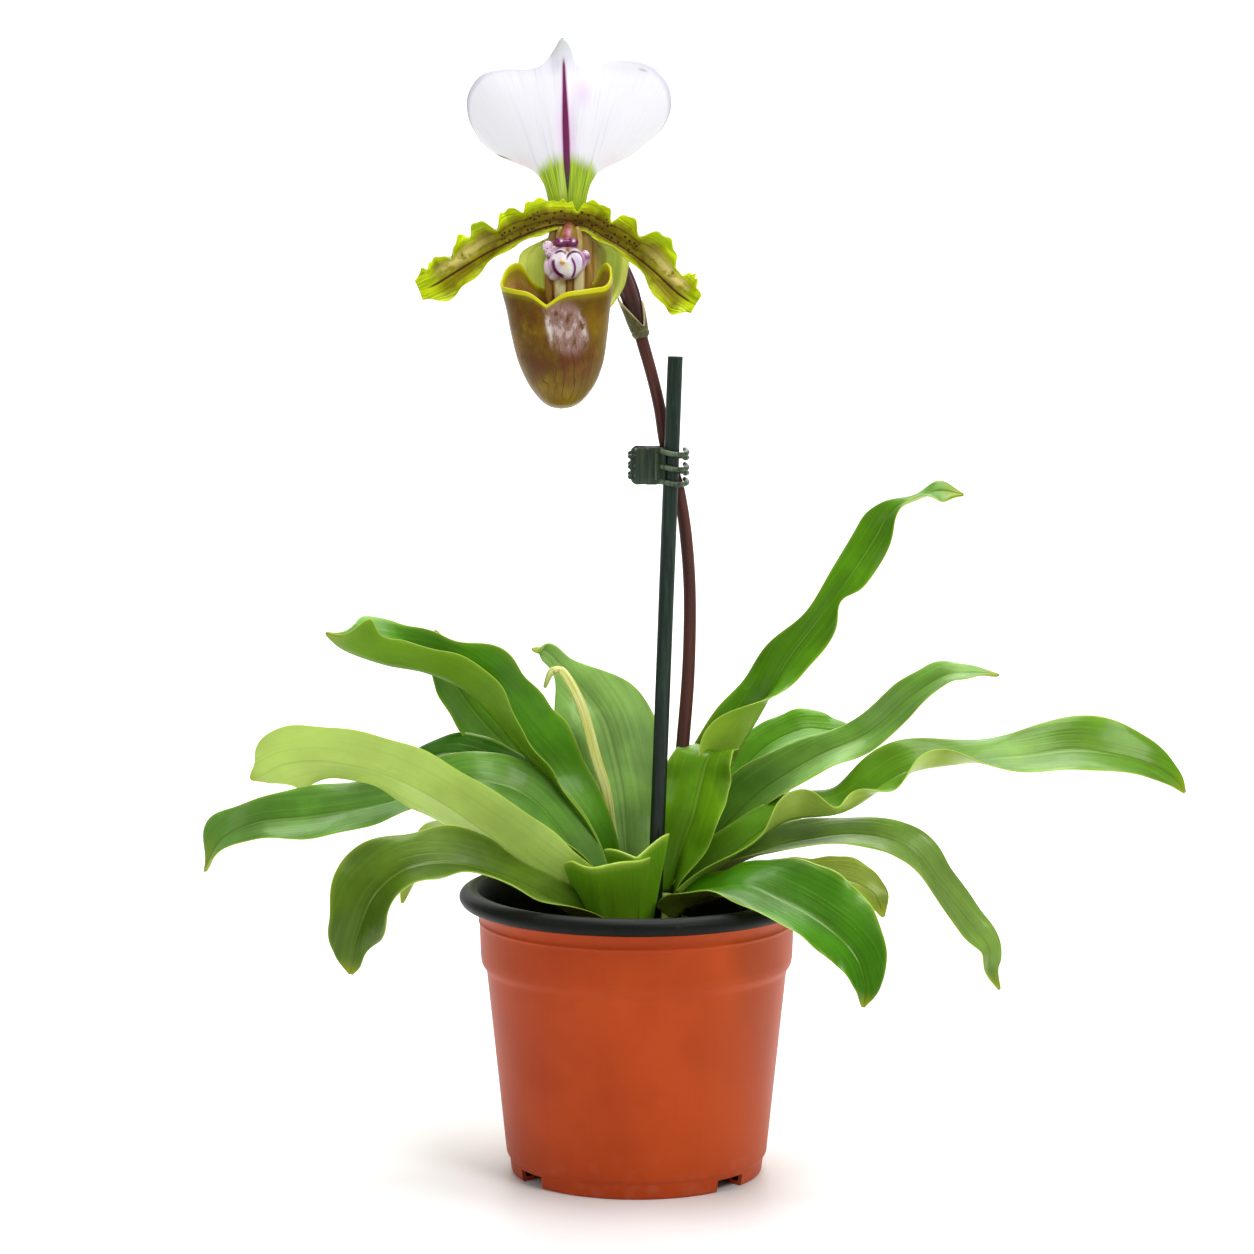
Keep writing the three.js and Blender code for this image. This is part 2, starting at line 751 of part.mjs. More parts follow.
function clawBand(from, to, height) {
  const steps = 9;
  const angles = Array.from({ length: steps + 1 }, (_, k) => from + ((to - from) * k) / steps);
  const outer = angles.map((angle) => clawPoint(angle, CLAW_THICKNESS));
  const inner = angles.map((angle) => clawPoint(angle, 0));
  return extruded([...inner, ...outer.reverse()], height);
}

// A thumb plate from the claws' root, past the hinge, to its free end with grip ridges.
function clipPlate(height) {
  const inner = [clawPoint(128, 0), clawPoint(150, 0), [-0.6, 2.3], [-6.9, 5.2]];
  const ridges = [];
  const ridgeCount = 4;
  for (let k = 0; k < ridgeCount; k++) {
    const share = k / ridgeCount;
    const x = -7.4 + 5.6 * share;
    const y = 6.6 - 2.6 * share;
    ridges.push([x, y], [x + 0.3, y + 0.6], [x + 0.8, y + 0.4]);
  }
  const outer = [...ridges, [-1, 3.6], clawPoint(146, CLAW_THICKNESS), clawPoint(128, CLAW_THICKNESS)];
  return extruded([...inner, ...outer].reverse(), height);
}

// The eye that the hinge pin passes through, joined to the plate.
function clipKnuckle(height) {
  const points = [[-KNUCKLE_RADIUS, 2.9], [KNUCKLE_RADIUS, 2.9]];
  const steps = 8;
  for (let k = 0; k <= steps; k++) {
    const turn = (-Math.PI * k) / steps;
    points.push([KNUCKLE_RADIUS * Math.cos(turn), KNUCKLE_RADIUS * Math.sin(turn)]);
  }
  const hole = new THREE.Path().absarc(0, 0, PIN_RADIUS + GAP, 0, 2 * Math.PI, true);
  return extruded(points.reverse(), height, [hole]);
}

// A jaw is made in plan with its claws towards +X and its plate on the +Y side of the hinge.
function jaw(knuckleLevels, clawLevels, clawHeight) {
  const parts = [clipPlate(CLIP_HEIGHT)];
  for (const level of knuckleLevels) parts.push(clipKnuckle(KNUCKLE_HEIGHT).translate(0, 0, level));
  for (const level of clawLevels) parts.push(clawBand(129, -32, clawHeight).translate(0, 0, level));
  return joined(parts);
}

function placedJaw(solid, mirrored) {
  const turnedOver = mirrored ? solid.mirror([0, 1, 0]) : solid;
  return turnedOver.translate([...CLIP_HINGE, CLIP_FOOT]);
}

function springSolid() {
  const turns = 3;
  const steps = 27;
  const rows = [];
  for (let k = 0; k <= steps; k++) {
    const angle = (2 * Math.PI * turns * k) / steps;
    rows.push([
      CLIP_HINGE[0] + SPRING_RADIUS * Math.cos(angle),
      CLIP_HINGE[1] + SPRING_RADIUS * Math.sin(angle),
      CLIP_FOOT + 4.9 + (SPRING_RISE * k) / steps,
      SPRING_WIRE,
    ]);
  }
  return stalk(rows, 4, steps);
}

function pinSolid() {
  const [x, y] = CLIP_HINGE;
  return rod([x, y, CLIP_FOOT + 0.1], [x, y, CLIP_FOOT + CLIP_HEIGHT - 0.1], PIN_RADIUS, 8);
}

// ---------------------------------------------------------------- flower

// A point of a quadratic curve.
function curved(start, pull, end, share) {
  const keep = 1 - share;
  return start.map((value, k) => keep * keep * value + 2 * keep * share * pull[k] + share * share * end[k]);
}

// Ribs fan out from the narrow base of the dorsal sepal to its outline.
function dorsalPlace(along, across) {
  const rim = rowAt(DORSAL_OUTLINE, (across + 1) / 2);
  const base = [DORSAL_BASE[0] + 4 * across, DORSAL_BASE[2]];
  const waist = [DORSAL_BASE[0] + 10 * across, 345];
  const [x, z] = curved(base, waist, rim, along);
  const arch = -4.5 * Math.sin(Math.PI * 0.85 * along);
  const backwards = 9 * along * across ** 4;
  const pleat = 0.9 * along * Math.cos(3 * Math.PI * across) * (1 - across * across);
  return new THREE.Vector3(x, DORSAL_BASE[1] + arch + backwards + pleat, z);
}

// The fused lower sepals: a broad scoop behind the pouch.
function synsepalPlace(along, across) {
  const [x, y, z, half] = rowAt(SYNSEPAL_ROWS, along);
  const scoop = 5 * across * across;
  return new THREE.Vector3(x + half * across, y - scoop, z - 2 * across * across * (1 - along));
}

// A petal's rows are [x, y, z, width above, width below] along its midvein. Its upper edge is
// ruffled, and its lower edge waves gently.
function petalPlace(rows, ruffles) {
  return (along, across) => {
    const { point, direction } = runAt(rows, along);
    const [, , , above, below] = rowAt(rows, along);
    const rise = new THREE.Vector3(-direction.z, 0, direction.x).normalize();
    if (rise.z < 0) rise.negate();
    const outwards = direction.x < 0 ? -across : across;
    const width = outwards > 0 ? above : below;
    const edge = Math.abs(across) ** 3;
    const crisp = outwards > 0 ? 1 : 0.35;
    const phase = 2 * Math.PI * ruffles * along;
    const ruffle = crisp * edge * Math.sin(phase);
    const flare = crisp * edge * Math.cos(phase);
    point.addScaledVector(rise, Math.sign(outwards) * (Math.abs(across) * width + 0.9 * ruffle));
    point.y += (1.6 * flare - 2.2 * across * across) * Math.min(1, 5 * along);
    return point;
  };
}

// The pouch's wall at a turn from the front (1 is all the way round) and a share of the way down.
function pouchPoint(turn, down, inset) {
  const fromFront = Math.abs(turn > 0.5 ? 1 - turn : turn) * 2;
  const [z, x, y, halfWidth, halfDepth] = rowAt(POUCH_ROWS, down);
  const rim = rowAt(POUCH_RIM.map((height) => [height]), fromFront)[0];
  const fade = Math.max(0, 1 - down / 0.36) ** 2;
  const angle = 2 * Math.PI * turn + POUCH_TURN;
  const earFlare = 0.9 * fade * Math.exp(-(((fromFront - 0.64) / 0.14) ** 2));
  return new THREE.Vector3(
    x + Math.max(halfWidth + earFlare - inset, 0) * Math.sin(angle),
    y - Math.max(halfDepth - inset, 0) * Math.cos(angle),
    z + (rim - POUCH_ROWS[0][0]) * fade + (inset > 0 ? inset * down ** 3 : 0),
  );
}

function pouchShape() {
  const rounds = 22;
  const levels = 9;
  const made = new Triangles();
  const at = (i, j, inset) => pouchPoint((j % rounds) / rounds, (i / levels) ** 1.15, inset);
  for (let j = 0; j < rounds; j++) {
    for (let i = 0; i < levels; i++) {
      made.quad(at(i, j, 0), at(i + 1, j, 0), at(i + 1, j + 1, 0), at(i, j + 1, 0));
      made.add(at(i, j, POUCH_WALL), at(i + 1, j + 1, POUCH_WALL), at(i + 1, j, POUCH_WALL));
      made.add(at(i, j, POUCH_WALL), at(i, j + 1, POUCH_WALL), at(i + 1, j + 1, POUCH_WALL));
    }
    made.quad(at(0, j, 0), at(0, j + 1, 0), at(0, j + 1, POUCH_WALL), at(0, j, POUCH_WALL));
  }
  return made.geometry();
}

function blob(x, y, z, halfWidth, halfDepth, halfHeight) {
  const ball = new THREE.SphereGeometry(1, 8, 6).rotateX(Math.PI / 2);
  return ball.scale(halfWidth, halfDepth, halfHeight).translate(x, y, z);
}

// The column with its shield in front, two side lobes and the stigma below.
function staminodeSolid() {
  return joined([
    stalk([[-22, -11.6, 318.8, 3], [-22.2, -15, 317.6, 3.2], [-22.6, -18, 313, 3]], 8, 3),
    blob(-22.7, -19.6, 309, 5.7, 1.7, 5.2),
    blob(-26.8, -18, 312.4, 2.6, 1.4, 3.2),
    blob(-18.6, -18, 312.6, 2.2, 1.4, 2.6),
    blob(-23, -18.4, 315, 2.8, 2, 2.2),
    blob(-22.6, -16.4, 305.4, 6, 2.2, 5),
  ]);
}

function bractPlace(along, across) {
  const tall = 1 - 0.5 * Math.abs(across);
  const { point, direction } = runAt(BRACT_ROWS, along * tall);
  const radius = rowAt(BRACT_ROWS, along * tall)[3];
  const sideways = new THREE.Vector3(1, 0, 0).addScaledVector(direction, -direction.x).normalize();
  const forwards = sideways.clone().cross(direction).negate();
  const angle = degrees(BRACT_WRAP) * across;
  point.addScaledVector(sideways, radius * Math.sin(angle));
  return point.addScaledVector(forwards, -radius * Math.cos(angle));
}

// ---------------------------------------------------------------- assembly

const TERRACOTTA = { color: 0xa8482a, roughness: 0.45 };
const BARK = { color: 0x2e2018, roughness: 0.95 };
const ROOT = { color: 0x8a7a4e, roughness: 0.8 };
const LEAF_GREEN = { color: 0x4f8a1c, roughness: 0.4 };
const SHOOT_YELLOW = { color: 0xe6e58a, roughness: 0.5 };
const STEM_PURPLE = { color: 0x5a3330, roughness: 0.55 };
const BRACT_GREEN = { color: 0x8c8f52, roughness: 0.6 };
const SEPAL_WHITE = { color: 0xf4f1f6, roughness: 0.5 };
const SEPAL_GREEN = { color: 0xb7cf7c, roughness: 0.5 };
const PETAL_OLIVE = { color: 0x8f8a1e, roughness: 0.4 };
const POUCH_BROWN = { color: 0x7c5a1c, roughness: 0.3 };
const SHIELD_PINK = { color: 0xdcb4cf, roughness: 0.35 };
const STAKE_GREEN = { color: 0x1f2b26, roughness: 0.35 };
const STEEL = { color: 0xa0a0a0, roughness: 0.3, metalness: 1 };

function leafShape(leaf, extra) {
  const steps = Math.round(1.35 * leaf.rows.length);
  return sheet(leafPlace({ ...leaf, grow: extra }), steps, 4, BLADE + 2 * extra);
}

function shootShape(extra = 0) {
  return stalk(SHOOT_ROWS, 6, 14, extra);
}

addPiece("pot", potSolid(), TERRACOTTA);

const buried = [crownSolid(GAP), solidOf(scapeShape(GAP)), solidOf(stakeShape(GAP))];
addPiece("potting_mix", largestBody(buried.reduce((mix, piece) => mix.subtract(piece), mixSolid())), BARK);
const crown = crownSolid().subtract(buried[1]).subtract(buried[2]);
addPiece("crown_and_roots", largestBody(crown), ROOT);
addPiece("scape", scapeShape(), STEM_PURPLE);
addPiece("stake", stakeShape(), STAKE_GREEN);
addPiece("pale_shoot", shootShape(), SHOOT_YELLOW);

// Each leaf is cut clear of what was placed before it. The waves of their edges differ.
const taken = [...buried, solidOf(shootShape(GAP))];
LEAVES.forEach((leaf, index) => {
  const waved = { ...leaf, phase: 0.37 * index };
  const blade = taken.reduce((rest, other) => rest.subtract(other), solidOf(leafShape(waved, 0)));
  addPiece(leaf.name, largestBody(blade), LEAF_GREEN);
  taken.push(solidOf(leafShape(waved, GAP)));
});


const ridged = (angle) => 1 + 0.09 * Math.cos(OVARY_RIDGES * angle);
addPiece("ovary", stalk(OVARY_ROWS, OVARY_SIDES, 10, 0, ridged), STEM_PURPLE);
addPiece("bract", sheet(bractPlace, 4, 10, PETAL), BRACT_GREEN);
addPiece("dorsal_sepal", sheet(dorsalPlace, 7, 18, PETAL), SEPAL_WHITE);
addPiece("synsepal", sheet(synsepalPlace, 7, 6, PETAL), SEPAL_GREEN);
addPiece("petal_left", sheet(petalPlace(PETAL_LEFT_ROWS, PETAL_RUFFLES), 26, 4, PETAL), PETAL_OLIVE);
addPiece("petal_right", sheet(petalPlace(PETAL_RIGHT_ROWS, PETAL_RUFFLES), 26, 4, PETAL), PETAL_OLIVE);
addPiece("pouch", pouchShape(), POUCH_BROWN);
addPiece("staminode", staminodeSolid(), SHIELD_PINK);

const frontJaw = jaw(FRONT_KNUCKLE_LEVELS, FRONT_CLAW_LEVELS, FRONT_CLAW_HEIGHT);
const rearJaw = jaw(REAR_KNUCKLE_LEVELS, REAR_CLAW_LEVELS, REAR_CLAW_HEIGHT);
addPiece("clip_front_jaw", placedJaw(frontJaw, true), STAKE_GREEN);
addPiece("clip_rear_jaw", placedJaw(rearJaw, false), STAKE_GREEN);
addPiece("clip_pin", pinSolid(), STEEL);
addPiece("clip_spring", springSolid(), STEEL);

export default group;
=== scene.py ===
import math
from functools import partialmethod

import bmesh
import bpy
import numpy as np
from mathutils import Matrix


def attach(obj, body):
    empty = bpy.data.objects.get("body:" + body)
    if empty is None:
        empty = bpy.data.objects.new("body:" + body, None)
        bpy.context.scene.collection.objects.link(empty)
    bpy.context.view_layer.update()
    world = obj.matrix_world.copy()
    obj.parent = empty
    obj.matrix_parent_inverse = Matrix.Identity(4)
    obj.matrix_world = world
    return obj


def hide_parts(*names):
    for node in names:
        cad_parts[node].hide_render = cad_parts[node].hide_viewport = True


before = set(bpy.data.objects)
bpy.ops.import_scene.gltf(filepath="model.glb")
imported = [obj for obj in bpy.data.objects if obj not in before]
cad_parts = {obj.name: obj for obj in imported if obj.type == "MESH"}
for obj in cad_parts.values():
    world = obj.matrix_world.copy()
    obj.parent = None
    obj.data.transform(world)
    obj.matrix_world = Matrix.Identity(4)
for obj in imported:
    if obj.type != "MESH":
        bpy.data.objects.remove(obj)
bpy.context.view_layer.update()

# A slipper orchid in a nursery pot. Rows and sizes are in millimetres, and a piece's points are
# turned into metres as its mesh is made. +Z is up, -Y is the front, and the ground is at 0.
MM = 0.001


# ---------------------------------------------------------------- curves


def row_at(rows, share):
    """A smooth run through rows of numbers, at shares of the way from the first row to the last."""
    rows = np.asarray(rows, float)
    last = len(rows) - 1
    place = np.clip(share, 0, 1) * last
    first = np.minimum(np.floor(place).astype(int), last - 1)
    t = (place - first)[..., None]
    padded = np.vstack([2 * rows[0] - rows[1], rows, 2 * rows[-1] - rows[-2]])
    before, start, end, after = (padded[first + k] for k in range(4))
    slope = (end - before) / 2
    next_slope = (after - start) / 2
    rise = end - start
    return (start + slope * t + (3 * rise - 2 * slope - next_slope) * t**2
            + (slope + next_slope - 2 * rise) * t**3)


def unit(vectors):
    return vectors / np.maximum(np.linalg.norm(vectors, axis=-1, keepdims=True), 1e-9)


def run_at(rows, share):
    """The points of a run of rows, and the directions that it runs in."""
    step = 0.004
    ahead = row_at(rows, share + step)[..., :3]
    behind = row_at(rows, share - step)[..., :3]
    return row_at(rows, share)[..., :3], unit(ahead - behind)


def smooth(value, low, high):
    t = np.clip((value - low) / (high - low), 0, 1)
    return t * t * (3 - 2 * t)


def bell(value, middle, width):
    return np.exp(-(((value - middle) / width) ** 2))


def vector(x, y, z):
    return np.stack(np.broadcast_arrays(x, y, z), axis=-1).astype(float)


# ---------------------------------------------------------------- meshes

# The rings of a stalk's rounded end, as turns in radians from its side towards its tip
END_TURNS = (0.5, 1.0, 1.4)
# The share of a surface over which its slope is measured
NEAR = 1e-3
# A blade's margins: how suddenly it thins at its ends and at its sides, and its midrib's half width
END_POWER = 60
SIDE_POWER = 6
RIB = 0.07


def part(points, faces, corners, paint=0, **values):
    """Some closed skin of a piece: corners holds a pair of shares for each corner of each face."""
    return {"points": points, "faces": faces, "corners": corners, "paint": paint, "values": values}


def turns(sides):
    """Even turns all the way round, in radians."""
    return np.linspace(0, 2 * np.pi, sides, endpoint=False)


def ring_faces(first, last, sides):
    """Squares between rings of points, from the first ring to the last."""
    faces = []
    for low in range(first * sides, last * sides, sides):
        high = low + sides
        for j in range(sides):
            after = (j + 1) % sides
            faces.append((low + j, low + after, high + after, high + j))
    return faces


def tube(points, paint=0, **values):
    """A closed skin round rings of points, with a middle point at each end."""
    rings, sides = points.shape[:2]
    flat = np.vstack([points.reshape(-1, 3), points[0].mean(axis=0), points[-1].mean(axis=0)])
    faces = ring_faces(0, rings - 1, sides)
    corners = []
    for i in range(rings - 1):
        low, high = i / (rings - 1), (i + 1) / (rings - 1)
        for j in range(sides):
            left, right = j / sides, (j + 1) / sides
            corners += [(low, left), (low, right), (high, right), (high, left)]
    foot = rings * sides
    top = foot - sides
    for j in range(sides):
        after = (j + 1) % sides
        faces += [(foot, after, j), (foot + 1, top + j, top + after)]
        corners += [(0, 0.5)] * 3 + [(1, 0.5)] * 3
    spread = {key: np.append(np.broadcast_to(value, (rings, sides)).ravel(), [np.mean(value)] * 2)
              for key, value in values.items()}
    return part(flat, faces, corners, paint, **spread)


def round_end(middle, ring, way, rounding):
    """Shrinking rings past a stalk's end, the widest first."""
    return [middle + (ring - middle) * math.cos(turn) + way * rounding * math.sin(turn)
            for turn in END_TURNS]


def stalk(rows, sides, steps, swell=None, rounding=0.6, paint=0, **values):
    """A skin along rows of [x, y, z, radius], with rounded ends. swell(angle, share) shapes it."""
    share = np.linspace(0, 1, steps + 1)
    points, directions = run_at(rows, share)
    radius = row_at(rows, share)[:, 3]
    axis = np.where(np.abs(directions[:, :1]) > 0.9, [[0.0, 1, 0]], [[1.0, 0, 0]])
    across = unit(axis - directions * np.sum(axis * directions, axis=1, keepdims=True))
    over = np.cross(directions, across)
    angle = turns(sides)
    reach = np.broadcast_to(radius[:, None], (steps + 1, sides)).copy()
    if swell:
        reach *= swell(angle[None, :], share[:, None])
    ring = across[:, None] * np.cos(angle)[:, None] + over[:, None] * np.sin(angle)[:, None]
    rings = points[:, None] + reach[..., None] * ring
    start = round_end(points[0], rings[0], -directions[0], rounding)
    finish = round_end(points[-1], rings[-1], directions[-1], rounding)
    return tube(np.concatenate([start[::-1], rings, finish]), paint, **values)


def facing(place, along, across):
    """The way that a surface faces at each of its points."""
    run = place(np.minimum(along + NEAR, 1), across) - place(np.maximum(along - NEAR, 0), across)
    over = place(along, np.minimum(across + NEAR, 1)) - place(along, np.maximum(across - NEAR, -1))
    return unit(np.cross(run, over))


def flattened(middle):
    """Millimetres along and across a surface, from the foot of its middle line."""
    centre = middle.shape[1] // 2
    length = np.append(0, np.cumsum(np.linalg.norm(np.diff(middle[:, centre], axis=0), axis=-1)))
    width = np.cumsum(np.linalg.norm(np.diff(middle, axis=1, prepend=middle[:, :1]), axis=-1), axis=1)
    return vector(length[:, None], width - width[:, [centre]], 0)


def two_sided(along, across, front_index, back_index):
    """Squares on both sides of a sheet, and the shares along and across it at their corners."""
    faces = []
    corners = []
    wide = (across + 1) / 2
    for i in range(along.shape[0] - 1):
        for j in range(along.shape[1] - 1):
            square = [(i, j), (i + 1, j), (i + 1, j + 1), (i, j + 1)]
            faces.append(tuple(int(front_index[cell]) for cell in square))
            faces.append(tuple(int(back_index[cell]) for cell in square[::-1]))
            shares = [(along[cell], wide[cell]) for cell in square]
            corners += shares + shares[::-1]
    return faces, corners


def blade(place, along_steps, across_steps, thickness, even=False, groove=0.0, keel=0.0):
    """A closed sheet with thin round margins. place(along, across) is its middle surface, along
    0..1 and across -1..1. The value face is 1 on the side that the surface's normal points to."""
    spread = np.linspace(-1, 1, across_steps + 1)
    if not even:
        spread = np.sin(spread * np.pi / 2)
    along, across = np.meshgrid(np.linspace(0, 1, along_steps + 1), spread, indexing="ij")
    middle = place(along, across)
    normal = facing(place, along, across)
    ends = np.sqrt(np.clip(1 - (2 * along - 1) ** END_POWER, 0, 1))
    half = thickness / 2 * np.sqrt(np.clip(1 - across**SIDE_POWER, 0, 1)) * ends
    rib = bell(across, 0, RIB) * ends
    front = middle + normal * (half - groove * rib)[..., None]
    back = middle - normal * (half + keel * rib)[..., None]

    inside = np.zeros(along.shape, bool)
    inside[1:-1, 1:-1] = True
    inner = np.count_nonzero(inside)
    front_index = np.arange(along.size).reshape(along.shape)
    back_index = front_index.copy()
    back_index[inside] = along.size + np.arange(inner)
    faces, corners = two_sided(along, across, front_index, back_index)
    points = np.vstack([front.reshape(-1, 3), back[inside]])
    side = np.append(np.where(inside, 1.0, 0.5), np.zeros(inner))
    flat = flattened(middle)
    return part(points, faces, corners, face=side, flat=np.vstack([flat.reshape(-1, 3), flat[inside]]))


def add_value(mesh, key, parts):
    """Gives a mesh's points a named value, which is 0 on the skins that have none."""
    kind, field, width = ("FLOAT_VECTOR", "vector", 3) if key == "flat" else ("FLOAT", "value", 1)
    filled = []
    for one in parts:
        none = np.zeros((len(one["points"]), width))
        filled.append(np.reshape(one["values"].get(key, none), (-1, width)))
    attribute = mesh.attributes.new(key, kind, "POINT")
    attribute.data.foreach_set(field, np.vstack(filled).ravel())


def mesh_of(name, parts, paints):
    """A mesh of closed skins, in metres, with their finishes."""
    points = np.vstack([one["points"] for one in parts]) * MM
    faces = []
    paint_index = []
    start = 0
    for one in parts:
        faces += [tuple(corner + start for corner in face) for face in one["faces"]]
        paint_index += [one["paint"]] * len(one["faces"])
        start += len(one["points"])
    mesh = bpy.data.meshes.new(name)
    mesh.from_pydata(points.tolist(), [], faces)
    shares = mesh.uv_layers.new(name="shares")
    shares.data.foreach_set("uv", np.concatenate([np.ravel(one["corners"]) for one in parts]))
    for key in sorted({key for one in parts for key in one["values"]}):
        add_value(mesh, key, parts)
    for paint in paints:
        mesh.materials.append(paint)
    mesh.polygons.foreach_set("material_index", paint_index)
    return mesh


def loose_object(name, mesh):
    thing = bpy.data.objects.new(name, mesh)
    bpy.context.scene.collection.objects.link(thing)
    return thing


def settled(name, mesh, body, stands_for=None, sharp=None):
    """A piece with a finished mesh, on its body, in place of a CAD node."""
    mesh.shade_smooth()
    if sharp:
        mesh.set_sharp_from_angle(angle=math.radians(sharp))
    thing = loose_object(name, mesh)
    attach(thing, body)
    if stands_for:
        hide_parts(stands_for)


def piece(name, parts, paints, stands_for=None, body="plant", sharp=None):
    """A piece made of closed skins."""
    settled(name, mesh_of(name, parts, paints), body, stands_for, sharp)


def hardened(thing):
    """Turns an object with its modifiers into a plain mesh, and removes the object."""
    bpy.context.view_layer.update()
    ready = thing.evaluated_get(bpy.context.evaluated_depsgraph_get())
    mesh = bpy.data.meshes.new_from_object(ready)
    bpy.data.objects.remove(thing)
    return mesh


# ---------------------------------------------------------------- finishes


def srgb(red, green, blue):
    """A colour given from 0 to 255 as seen, in the linear numbers that the shader takes."""
    seen = [value / 255 for value in (red, green, blue)]
    return (*[value / 12.92 if value <= 0.04045 else ((value + 0.055) / 1.055) ** 2.4 for value in seen], 1)


def shaded(colour, factor, more=0):
    """A colour made darker or lighter by a factor, and then by a plain amount."""
    return srgb(*[value * factor + more for value in colour])


class Wire:
    """The output of a node. Arithmetic on it adds Math nodes."""

    def __init__(self, tree, socket):
        self.tree = tree
        self.socket = socket

    def combine(self, kind, *others):
        node = self.tree.nodes.new("ShaderNodeMath")
        node.operation = kind
        for slot, value in zip(node.inputs, (self, *others)):
            connect(self.tree, slot, value)
        return Wire(self.tree, node.outputs[0])

    __add__ = __radd__ = partialmethod(combine, "ADD")
    __sub__ = partialmethod(combine, "SUBTRACT")
    __mul__ = __rmul__ = partialmethod(combine, "MULTIPLY")
    __truediv__ = partialmethod(combine, "DIVIDE")
    __pow__ = partialmethod(combine, "POWER")
    size = partialmethod(combine, "ABSOLUTE")
    most = partialmethod(combine, "MAXIMUM")
    sine = partialmethod(combine, "SINE")

    def __rsub__(self, other):
        return self * -1 + other

    def rise(self, low, high):
        """Goes smoothly from 0 at low to 1 at high."""
        node = self.tree.nodes.new("ShaderNodeMapRange")
        node.interpolation_type = "SMOOTHSTEP"
        for slot, value in zip(node.inputs, (self, low, high, 0.0, 1.0)):
            connect(self.tree, slot, value)
        return Wire(self.tree, node.outputs[0])

    def fall(self, low, high):
        return 1 - self.rise(low, high)

    def near(self, middle, width):
        """A soft bump round a value."""
        return (self - middle).size().fall(0, width)


def connect(tree, slot, value):
    if isinstance(value, Wire):
        tree.links.new(value.socket, slot)
    else:
        slot.default_value = value


class Paint:
    """A finish: its material, and short ways to wire the material's nodes."""

    def __init__(self, name, **sockets):
        self.material = bpy.data.materials.new(name)
        self.material.use_nodes = True
        self.tree = self.material.node_tree
        self.shader = self.tree.nodes["Principled BSDF"]
        for socket, value in sockets.items():
            connect(self.tree, self.shader.inputs[socket.replace("_", " ")], value)

    def node(self, kind, inputs, output=0, **settings):
        made = self.tree.nodes.new("ShaderNode" + kind)
        for key, value in settings.items():
            setattr(made, key, value)
        for key, value in inputs.items():
            connect(self.tree, made.inputs[key], value)
        return Wire(self.tree, made.outputs[output])

    def split(self, wire):
        node = self.tree.nodes.new("ShaderNodeSeparateXYZ")
        connect(self.tree, node.inputs[0], wire)
        return [Wire(self.tree, output) for output in node.outputs]

    def place(self):
        """Object coordinates in millimetres."""
        return self.scaled(self.node("TexCoord", {}, "Object"), 1 / MM, 1 / MM, 1 / MM)

    def scaled(self, wire, x, y, z):
        return self.node("VectorMath", {0: wire, 1: (x, y, z)}, operation="MULTIPLY")

    def joined(self, x, y, z=0.0):
        return self.node("CombineXYZ", {0: x, 1: y, 2: z})

    def shares(self):
        """How far along and across the piece a point is, each from 0 to 1."""
        return self.split(self.node("UVMap", {}, uv_map="shares"))[:2]

    def value(self, name):
        return self.node("Attribute", {}, "Fac", attribute_name=name)

    def flat(self):
        """Millimetres along and across a blade."""
        return self.node("Attribute", {}, "Vector", attribute_name="flat")

    def noise(self, where, scale, detail=3.0, roughness=0.5):
        inputs = {"Vector": where, "Scale": scale, "Detail": detail, "Roughness": roughness}
        return self.node("TexNoise", inputs)

    def cells(self, where, scale):
        """The distance to the nearest of some scattered points."""
        return self.node("TexVoronoi", {"Vector": where, "Scale": scale})

    def mix(self, share, start, end):
        return self.node("Mix", {0: share, 6: start, 7: end}, 2, data_type="RGBA")

    def layers(self, base, *coats):
        """The base colour with coats of (share, colour) over it, one after another."""
        for share, colour in coats:
            base = self.mix(share, base, colour)
        return base

    def finish(self, colour, roughness=None, relief=None, depth=0.1):
        """Connects the colour, roughness and relief. Depth is in millimetres."""
        connect(self.tree, self.shader.inputs["Base Color"], colour)
        if roughness is not None:
            connect(self.tree, self.shader.inputs["Roughness"], roughness)
        if relief is not None:
            bump = self.node("Bump", {"Height": relief, "Distance": depth * MM, "Strength": 1.0})
            connect(self.tree, self.shader.inputs["Normal"], bump)
        return self.material


